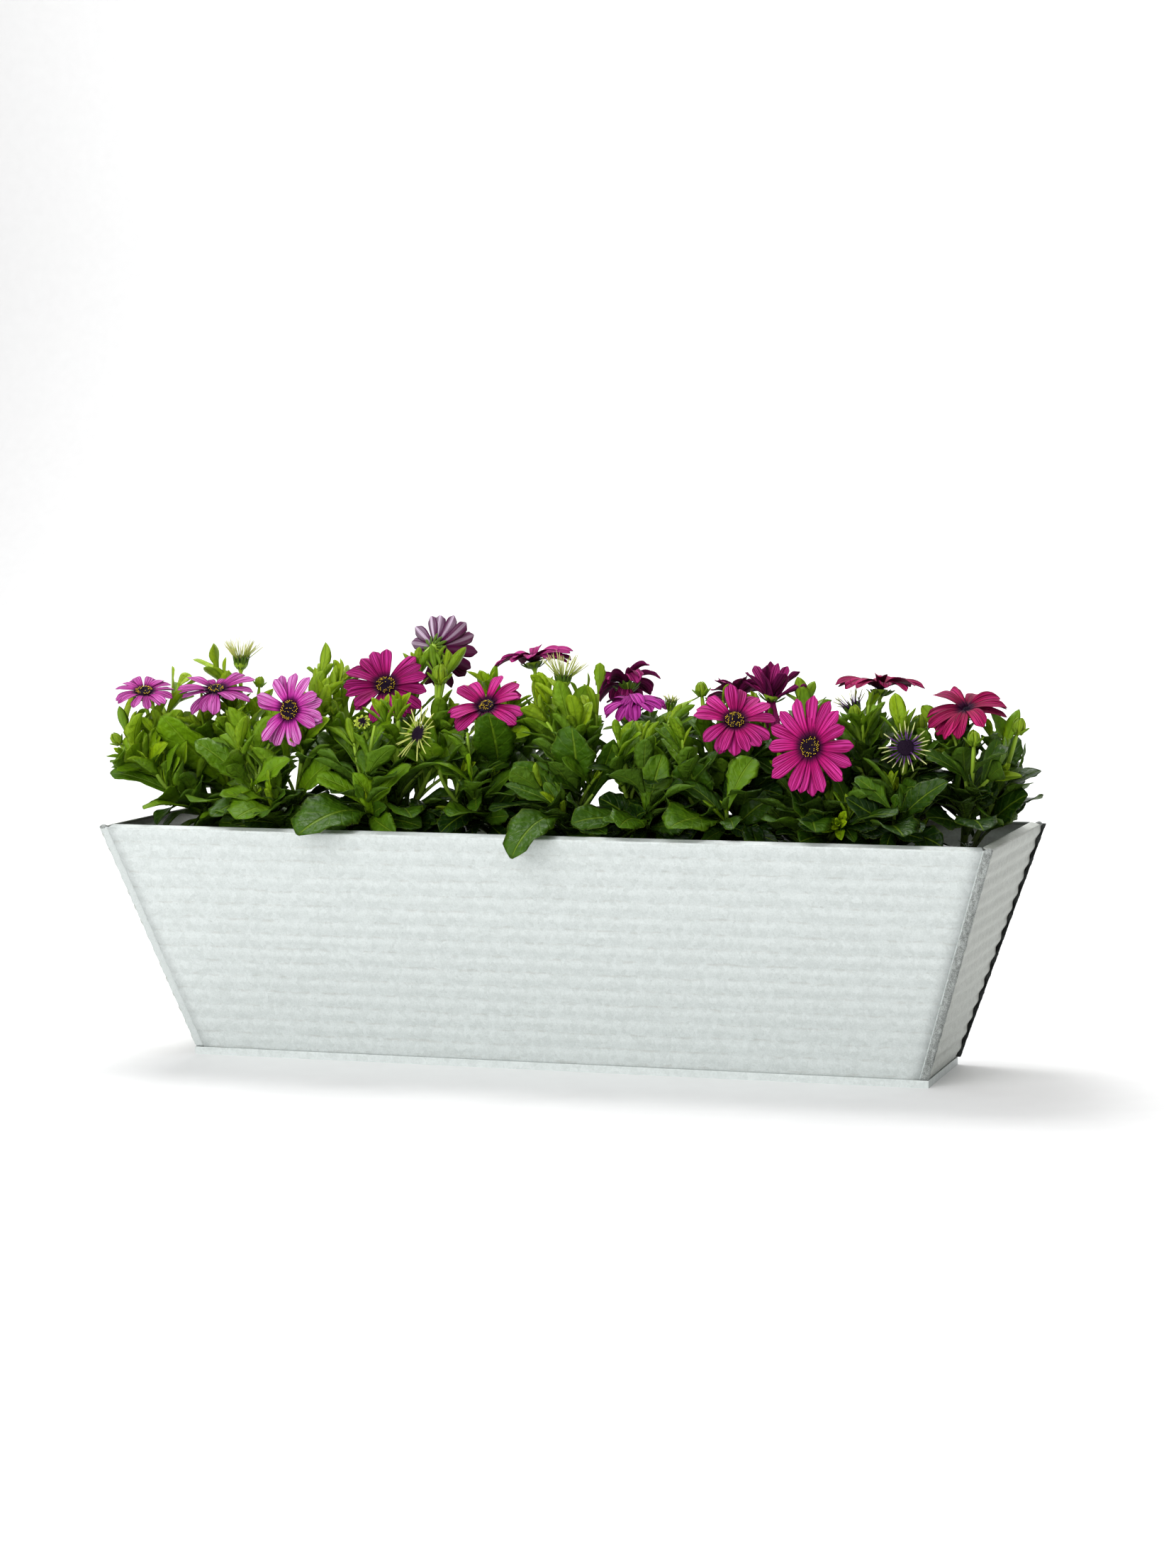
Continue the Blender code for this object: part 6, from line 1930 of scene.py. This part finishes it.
def skirt(name, crown, paths, draw):
    """Broad old leaves low on the stems, which cover the soil and reach for the rim."""
    made = []
    for i in range(SKIRT if abs(crown[0]) < END_CROWN else END_SKIRT):
        root, _ = along(paths[i % len(paths)], draw.uniform(0.05, 0.3))
        turn = i * GOLDEN_ANGLE
        out = Vector((math.cos(turn), math.sin(turn), 0))
        face = UP - out * 0.3
        for attempt in range(9):
            rise = math.radians(draw.uniform(2, 34) + attempt * 3)
            size = draw.uniform(0.038, 0.054) * (1 - 0.05 * attempt)
            tip = root + swung(out, UP, rise) * size
            width, bend = size * draw.uniform(0.3, 0.4), draw.uniform(15, 50)
            points = blade_points(root, tip, face, width, bend, LARGE_LEAF, steps=6)[5:]
            if tip.z > SKIRT_FLOOR and wall_depth(tip) < OUTREACH and free(points, name):
                fill(points, name + "skirt")
                # Painted shade towards the right is added to the age of these old leaves.
                twist, curl, sweep, age, form = shape_of(draw, draw.uniform(0.7, 1.1) + in_shade(tip.x))
                made.append(Blade(root, tip, face, width, bend, twist * 0.5, curl, sweep, age, form * 0.5))
                break
    return made


def leaf_age_and_shade(tip, height, share, leafy, draw):
    """How old a leaf looks, by where its tip is and how far up its shoot it grows, with painted shade
    towards the right.
    """
    age = min(max(1.0 - max((tip.z - 0.165) / 0.095, 0.0) ** 1.35, 0.1), 1.0)
    # Painted shade towards the right is added to the age.
    age = age * draw.uniform(0.8, 1.15) + in_shade(tip.x) * (1 - 0.6 * height)
    return age * (1.0 - 0.7 * max(share - 0.45, 0.0)) if leafy else age


LEAFY_SHARE = {"leafy": 1.0, "bud": 0.8, "bloom": 0.66, "spent": 0.66}
LARGE_FROM = 0.034


def dress(name, shoots, paths, draw):
    """More leaves along every stem: large ones and small ones."""
    large, small = [], []
    for shoot, path in zip(shoots, paths):
        long = sum((b - a).length for a, b in zip(path, path[1:]))
        share, turn = 0.06, draw.uniform(0, 2 * math.pi)
        while share < LEAFY_SHARE[shoot.kind]:
            root, heading = along(path, share)
            side, other = across_of(heading)
            height = min(max((root.z - SOIL_TOP) / 0.11, 0.0), 1.0)
            length = (0.052 - 0.03 * height) * draw.uniform(0.8, 1.2)
            lean = 76 - 50 * height
            for attempt in range(8):
                out = swung(side, other, turn + attempt * 1.1)
                pitch = math.radians(lean + draw.uniform(-14, 14))
                size = length * (1 - 0.06 * attempt)
                chord = swung(heading, out, pitch)
                face = (heading - chord * heading.dot(chord)).normalized()
                tip = root + chord * size
                width = size * draw.uniform(0.32, 0.46)
                bend = draw.uniform(10, 55) * (1 - 0.5 * height)
                points = blade_points(root, tip, face, width, bend, LEAF, steps=6)[5:]
                if tip.z > LEAF_FLOOR and free(points, name):
                    fill(points, name + str(len(small)))
                    shape = shape_of(draw, leaf_age_and_shade(tip, height, share, shoot.kind == "leafy", draw))
                    leaves = large if size > LARGE_FROM else small
                    leaves.append(Blade(root, tip, face, width, bend, *shape))
                    break
            turn += GOLDEN_ANGLE
            share += (0.008 - 0.0028 * height) / long
    return large, small


TUFT = 10


def tuft(shoot, draw, bold=False):
    """The upright young leaves at a leafy shoot's end. A bold tuft may hide part of a head."""
    axis, tip = unit(shoot.facing), Vector(shoot.tip)
    side, other = across_of(axis)
    made = []
    for i in range(TUFT):
        share = i / (TUFT - 1)
        out = swung(side, other, i * GOLDEN_ANGLE + draw.uniform(-0.2, 0.2))
        pitch = math.radians(6 + 34 * share + draw.uniform(-5, 5))
        size = (0.01 + 0.014 * share) * draw.uniform(0.85, 1.15)
        root = tip - axis * (0.002 + 0.008 * share)
        chord = swung(axis, out, pitch)
        end = root + chord * size
        points = blade_points(root, end, axis, size * 0.3, 10, SMALL_LEAF, steps=4)
        if bold or free(points, "tuft"):
            face = (axis - chord * axis.dot(chord)).normalized() if share > 0.1 else -out
            bend, twist = draw.uniform(-6, 22), draw.uniform(-0.3, 0.3)
            made.append(Blade(root, end, face, size * 0.34, bend, twist, 0.5, 0, 0.02 + 0.22 * share, 0.6))
    return made


print("leaves in a tuft:", TUFT)

# %% [markdown]
# Plant by plant, each leaf takes up room that the next one then finds filled. The stems, the leaves
# and the bracts of a plant together stand for its foliage node.

# %% Dress the stems
total = 0
for name, plant in grown.items():
    draw = random.Random(SEED * 31 + len(name) + int(name[-2:]))
    nodes = (name + "_foliage",)
    paths = [stem_path(plant["crown"], s.tip, s.facing, SMOOTH_STEPS) for s in plant["shoots"]]
    large = placed_leaves(plant, paths, draw)
    for blade in large:
        fill(blade_points(*blade[:5], LEAF, steps=6)[5:], name + "placed")
    large += skirt(name, plant["crown"], paths, draw)
    side = twigs_of(name, paths, draw)
    bold = marked_twigs(BOLD_TIPS, name, paths)
    shoots = plant["shoots"] + [shoot for shoot, _ in side]
    more, small = dress(name, shoots, paths + [path for _, path in side], draw)
    tufts, bracts = [], []
    for shoot in shoots:
        if shoot.kind == "leafy":
            tufts += tuft(shoot, draw)
        else:
            bracts += (bud_bracts if shoot.kind == "bud" else cup_bracts)(shoot, draw)
    for shoot, _ in bold:
        tufts += tuft(shoot, draw, True)
    lines = [stem_line(shoot, path) for shoot, path in zip(plant["shoots"], paths)]
    lines += [(path, [0.0014 - 0.00005 * i for i in range(len(path))]) for _, path in side + bold]
    stems = run_tree(name + "_stems", line_mesh(lines), stems_tree, {"Sides": 8, "Material": stem_green})
    piece(name + "_stems", stems, "foliage", *nodes)
    looks = {"surface": leaf_green, "slot": "foliage", "nodes": nodes}
    grow_blades(
        name + "_leaves", large + more, large_leaves, seed=draw.randrange(999), **looks,
        thickness=0.0008, fold=0.2, ripple=0.24, waves=9.0, teeth=0.2,
    )
    grow_blades(
        name + "_small_leaves", small + tufts, small_leaves, seed=draw.randrange(999), **looks,
        thickness=0.0007, fold=0.22, ripple=0.16, waves=7.0,
    )
    if bracts:
        seed = draw.randrange(999)
        grow_blades(name + "_bracts", bracts, small_leaves, seed=seed, **looks, thickness=0.0005)
    total += len(large) + len(more) + len(small) + len(tufts)
    print(name, "large", len(large) + len(more), "small", len(small), "tufts", len(tufts))
print("leaves in all:", total)

# %% [markdown]
# Each bloom has its own colour and its own way of holding its petals: flat, cupped, rolled at the
# edges or twisted. The table gives that, how far tips stray, how wide petals are, how many more lie
# between those of the CAD model, the radius of the eye, how much of it is still shut, how far petals
# on the camera's side are lifted, and how many degrees all of them droop.

# %% The petals
Look = namedtuple("Look", "finish curl twist ripple stray wide extra eye shut lift droop")
LOOKS = (
    Look("orchid", 0.3, 0.35, 0.1, 0.003, 0.88, 6, 0.0056, 0.74, 0.0, 8),
    Look("orchid", 0.25, 0.3, 0.08, 0.005, 1.0, 2, 0.0052, 0.68, 0.0, 8),
    Look("rose", 0.25, 0.3, 0.1, 0.006, 1.02, 3, 0.0063, 0.68, 0.0, 0),
    Look("wine", 0.3, 0.25, 0.1, 0.004, 1.0, 4, 0.0062, 0.62, 0.0, 0),
    Look("silver", 0.35, 0.35, 0.08, 0.004, 1.16, 5, 0.006, 0.6, 0.0, 0),
    Look("magenta", 0.35, 0.4, 0.1, 0.008, 0.98, 4, 0.0044, 0.4, 0.0, 0),
    Look("plum", 0.4, 0.4, 0.1, 0.006, 0.9, 8, 0.0044, 1.2, 0.25, 25),
    Look("dusk", 0.6, 0.6, 0.15, 0.007, 1.1, 6, 0.0038, 1.2, -0.3, 45),
    Look("fuchsia", 0.4, 0.4, 0.12, 0.005, 1.1, 4, 0.003, 1.2, -0.1, 10),
    Look("magenta", 0.2, 0.25, 0.08, 0.005, 1.04, 2, 0.0061, 0.6, 0.0, 6),
    Look("dusk", 0.45, 0.6, 0.12, 0.007, 1.1, 4, 0.0038, 1.2, 0.1, 20),
    Look("dusk", 0.9, 1.9, 0.2, 0.018, 0.66, 5, 0.0034, 1.2, 0.0, 0),
    Look("magenta", 0.18, 0.18, 0.08, 0.004, 1.0, 2, 0.0065, 0.62, 0.0, 4),
    Look("crimson", 0.45, 0.35, 0.12, 0.004, 0.98, 8, 0.0044, 1.2, 0.0, 24),
    Look("crimson", 0.35, 0.45, 0.12, 0.007, 0.92, 3, 0.003, 1.2, 0.0, 18),
)
# Blooms whose eye is hidden by folded petals, petals that hang down, and how much further in the
# petals start where the eye is shut.
COVERED = {9: 4}
HANGING = {
    8: ((-0.004, -0.01, -0.013), (0.005, -0.011, -0.011), (0.0, -0.012, -0.007)),
    12: ((0.005, -0.012, -0.027),),
}
INSET = 0.0036
# The silvery bloom has painted light: its petals that point towards this side stay pale, and the
# others darken.
LIT_SIDE = Vector((-0.62, -0.25, 0.74))


def between(blades, count):
    """More petals, each below and between two neighbours."""
    made = []
    for k in range(count):
        i = int((k + 0.5) * len(blades) / count)
        root, tip, face, width, bend = blades[i]
        next_root, next_tip = blades[(i + 1) % len(blades)][:2]
        long = (tip - root).length
        root = (root + next_root) / 2 - unit(face) * 0.0007
        tip = root + ((tip + next_tip) / 2 - root).normalized() * long
        made.append((root, tip, face, width, bend))
    return made


def over_eye(blades, count):
    """Petals that start behind the eye and fold over it, towards the camera."""
    made = []
    by_heading = sorted(blades, key=lambda blade: (blade[1] - blade[0]).normalized().y)
    for root, tip, face, width, _ in by_heading[:count]:
        out, up = (tip - root).normalized(), unit(face)
        made.append((root - out * 0.007 + up * 0.0025, root + out * 0.009 + up * 0.0015, face, width, 60))
    return made


def petals_of(blades, look, draw, covering, hanging):
    """The petals of one bloom: those of the CAD model, the ones between, and any that fold or hang."""
    made = []
    middle = sum((blade[0] for blade in blades), Vector()) / len(blades)
    for reach in hanging:
        root = middle - unit(blades[0][2]) * 0.001
        face, width = Vector((0.2, -1, 0.3)), blades[0][3]
        made.append(Blade(root, root + Vector(reach), face, width, 14, 0.3, 0.7, 0.05, 0.2, 0.8))
    for root, tip, face, width, bend in blades + between(blades, look.extra) + over_eye(blades, covering):
        twist = draw.uniform(-1, 1) * look.twist
        curl = look.curl * draw.uniform(0.5, 1.4)
        sweep = draw.uniform(-0.035, 0.035)
        depth = draw.uniform(0.0, 0.36)
        size = draw.uniform(0.93, 1.02)
        # Painted light on the silvery bloom: petals pointing towards LIT_SIDE get little depth and stay
        # pale.
        if look.finish == "silver":
            depth = min(max(0.45 - 0.8 * unit(tip - root).dot(LIT_SIDE), 0.0), 0.95)
            size *= 0.98 + 0.2 * depth
        astray = Vector((draw.gauss(0, 1), draw.gauss(0, 1), draw.gauss(0, 1))) * look.stray * 0.6
        if look.shut > 1:
            root = root - (tip - root).normalized() * INSET
        chord = tip - root
        near = max(-chord.normalized().y, 0.0)
        bend += look.droop - 60 * look.lift * near
        astray += unit(face) * chord.length * (look.lift * near - look.droop * 0.004)
        tip = root + (chord + astray).normalized() * chord.length * size
        width, form = width * look.wide, draw.random()
        made.append(Blade(root, tip, face, width, bend, twist, curl, sweep, depth, form))
    return made


number = 0
for name, plant in grown.items():
    for i, shoot in enumerate(plant["shoots"]):
        if shoot.kind != "bloom":
            continue
        look = LOOKS[number]
        number += 1
        draw = random.Random(SEED * 7 + number)
        label = f"bloom_{number:02d}"
        rays = petals_of(plant["blooms"][i], look, draw, COVERED.get(number, 0), HANGING.get(number, ()))
        grow_blades(
            label + "_rays", rays, petals_tree,
            petal_surfaces[look.finish], "petal_" + shoot.petals.colour, (label + "_petals",), number,
            thickness=0.0006, ripple=look.ripple, waves=6.0, groove=0.17, round_tip=0.08,
        )
        print(label, look.finish, len(rays), "petals")

# %% [markdown]
# The florets of an eye stand in the golden spiral, as in every daisy. A tree lays the points, puts a
# shut bud on each inner point and an open floret with a pollen ball on each outer one.

# %% The eyes
FLORET_INPUTS = {
    "Count": 110,
    "Radius": 0.006,
    "Dome": 0.0022,
    "Floret": 0.00052,
    "Cushion": 0.006,
    "Shut share": 0.55,
    "Seed": SEED,
}
CUP_SHAPE = {
    "Vertices": 5,
    "Side Segments": 1,
    "Fill Segments": 1,
    "Radius Top": 1.15,
    "Radius Bottom": 0.35,
    "Depth": 1.6,
}
# How far florets lean outwards, for each metre from the middle
LEAN_OUT = 90.0
FULL_EYE = 0.006
SMALL_EYE = 0.004
EYE_FLORETS = 135
FLORET = 0.00044
SMALL_FLORET = 0.0004


def stand(axis, place):
    """The matrix that puts +Z along axis at place."""
    turn = Matrix((*across_of(axis), unit(axis))).transposed()
    return Matrix.Translation(place) @ turn.to_4x4()


def floret_tree():
    wire, given = new_tree("florets", FLORET_INPUTS)

    def chance(low, high, seed):
        inputs = {"Min": low, "Max": high, "Seed": given["Seed"] + seed}
        return wire.out("FunctionNodeRandomValue", inputs, data_type="FLOAT")

    def ball(radius):
        return wire.out("GeometryNodeMeshIcoSphere", {"Radius": radius, "Subdivisions": 1})

    index = wire.out("GeometryNodeInputIndex")
    share = wire.math("SQRT", (index + 0.5) / given["Count"])
    turn = index * GOLDEN_ANGLE
    out = share * given["Radius"]
    x, y = out * turn.cosine(), out * turn.sine()
    points = wire.out("GeometryNodeMeshLine", {"Count": given["Count"]})
    points = wire.move(points, Position=wire.xyz(x, y, given["Dome"] * (1 - share * share)))
    lean = wire.xyz(x * LEAN_OUT, y * LEAN_OUT, 1.0)
    turned = wire.out("FunctionNodeAlignRotationToVector", {"Vector": lean}, axis="Z")
    size = given["Floret"] * chance(0.85, 1.2, 1)

    shut = wire.math("LESS_THAN", share + chance(-0.08, 0.08, 2), given["Shut share"])
    need = shut * 0.5 + 0.38 + given["Shut share"].more_than(1.0)
    open_now = chance(0.0, 1.0, 5).more_than(need)
    bud = wire.store(ball(1.0), "pollen", 0.0)
    cup = wire.store(wire.out("GeometryNodeMeshCone", CUP_SHAPE), "pollen", 0.04)
    pollen = wire.store(wire.move(ball(0.66), Offset=(0.0, 0.0, 1.9)), "pollen", 1.0)
    parts = []
    for instance, chosen in ((bud, 1 - open_now), (wire.join([cup, pollen]), open_now)):
        inputs = {"Points": points, "Selection": chosen, "Instance": instance}
        inputs.update({"Rotation": turned, "Scale": size})
        parts.append(wire.out("GeometryNodeInstanceOnPoints", inputs))
    cushion = wire.out("GeometryNodeMeshUVSphere", {"Segments": 24, "Rings": 12, "Radius": 1.0})
    flat = wire.xyz(given["Cushion"], given["Cushion"], given["Dome"])
    cushion = wire.move(cushion, Position=wire.vector("MULTIPLY", wire.position(), flat))
    parts.append(wire.store(cushion, "pollen", 0.0))
    return close_tree(wire, wire.join(parts), given["Material"])


def eye(label, shoot, radius, cushion, count, shut, seed):
    """The eye of one head: florets out to a radius, on a dark cushion."""
    axis = unit(shoot.facing)
    settings = {
        "Count": count,
        "Radius": radius,
        "Dome": DISC_HEIGHT * 0.62 * radius / FULL_EYE,
        "Floret": FLORET if radius > SMALL_EYE else SMALL_FLORET,
        "Cushion": cushion,
        "Shut share": shut,
        "Seed": seed,
        "Material": florets,
    }
    data = run_tree(label + "_eye", bpy.data.meshes.new("seed"), eyes_tree, settings)
    data.transform(stand(axis, Vector(shoot.tip) + axis * (HEAD_SEAT + CORE_THICK * 0.75)))
    return data


eyes_tree = floret_tree()
number, spent = 0, 0
for plant in grown.values():
    for i, shoot in enumerate(plant["shoots"]):
        if shoot.kind == "bloom":
            number += 1
            look = LOOKS[number - 1]
            label = f"bloom_{number:02d}"
            count = round(EYE_FLORETS * (look.eye / FULL_EYE) ** 2)
            cushion = look.eye if look.shut > 1 else FULL_EYE
            data = eye(label, shoot, look.eye, cushion, count, look.shut, number)
            piece(label + "_eye", data, "disc", label + "_disc")
print("blooms with an eye:", number, "faces in the last:", len(data.polygons))

# %% [markdown]
# A withered head keeps its petals as dry, rolled strands. Some heads stand up like a paint brush and
# others splay like a spider. The strands that the CAD model has are joined by thinner ones.

# %% The withered heads
# Finish, thin strands added to each, the radius of the dark middle, how wide the strands are, and how
# long.
WITHERED = (
    (cream_strand, 5, 0.0022, 0.8, 1.15),
    (lime_strand, 3, 0.004, 2.2, 1.0),
    (pale_strand, 1, 0.0056, 1.0, 1.3),
    (cream_strand, 5, 0.0022, 0.8, 1.15),
    (cream_strand, 2, 0.0024, 0.9, 1.0),
    (violet_strand, 1, 0.0056, 1.1, 1.1),
    (violet_strand, 1, 0.003, 1.1, 1.0),
)
# How tightly the strands are rolled up across
ROLLED = 2.2


def strands_of(blades, shoot, extra, wide, long, draw):
    """The rolled petals, and thinner ones between them."""
    axis = unit(shoot.facing)
    centre = Vector(shoot.tip) + axis * (HEAD_SEAT + CORE_THICK / 2)
    upright = axis.z > UPRIGHT
    swing = (-0.6, 0.6) if upright else (0.14, 0.34)
    made = []
    for root, tip, face, width, bend in blades:
        chord = (tip - root) * long
        bend *= 1.0 if upright else 0.2
        twist, sweep = draw.uniform(-0.3, 0.3), draw.uniform(-0.03, 0.03)
        made.append(Blade(root, root + chord, face, width * wide, bend, twist, ROLLED, sweep))
        for _ in range(extra):
            spin = Matrix.Rotation(draw.uniform(*swing), 4, axis)
            turned = spin @ chord
            lean = draw.uniform(0.1, 0.8) if upright else draw.uniform(-0.1, 0.2)
            end = turned * draw.uniform(0.65, 1.0) + axis * chord.length * lean * (0.3 if upright else 1)
            base = centre + spin @ (root - centre) * draw.uniform(0.5, 0.95)
            thin, turn = width * wide * draw.uniform(0.5, 0.9), draw.uniform(-10, 15)
            twist, sweep = draw.uniform(-1, 1), draw.uniform(-0.06, 0.06)
            made.append(Blade(base, base + end, face, thin, turn, twist, ROLLED, sweep))
    return made


for plant in grown.values():
    for i, shoot in enumerate(plant["shoots"]):
        if shoot.kind != "spent":
            continue
        finish, extra, middle, wide, long = WITHERED[spent]
        spent += 1
        draw = random.Random(SEED * 13 + spent)
        label = f"spent_{spent:02d}"
        blades = strands_of(plant["blooms"][i], shoot, extra, wide, long, draw)
        grow_blades(
            label + "_strands", blades, strands_tree, finish, "withered", (label + "_threads",), spent,
            thickness=0.0003, ripple=0.05, waves=12.0,
        )
        data = eye(label, shoot, middle, middle, 70 if middle > 0.003 else 30, 1.2, spent)
        piece(label + "_eye", data, "spent_disc", label + "_disc")
        print(label, finish.name, len(blades), "strands")
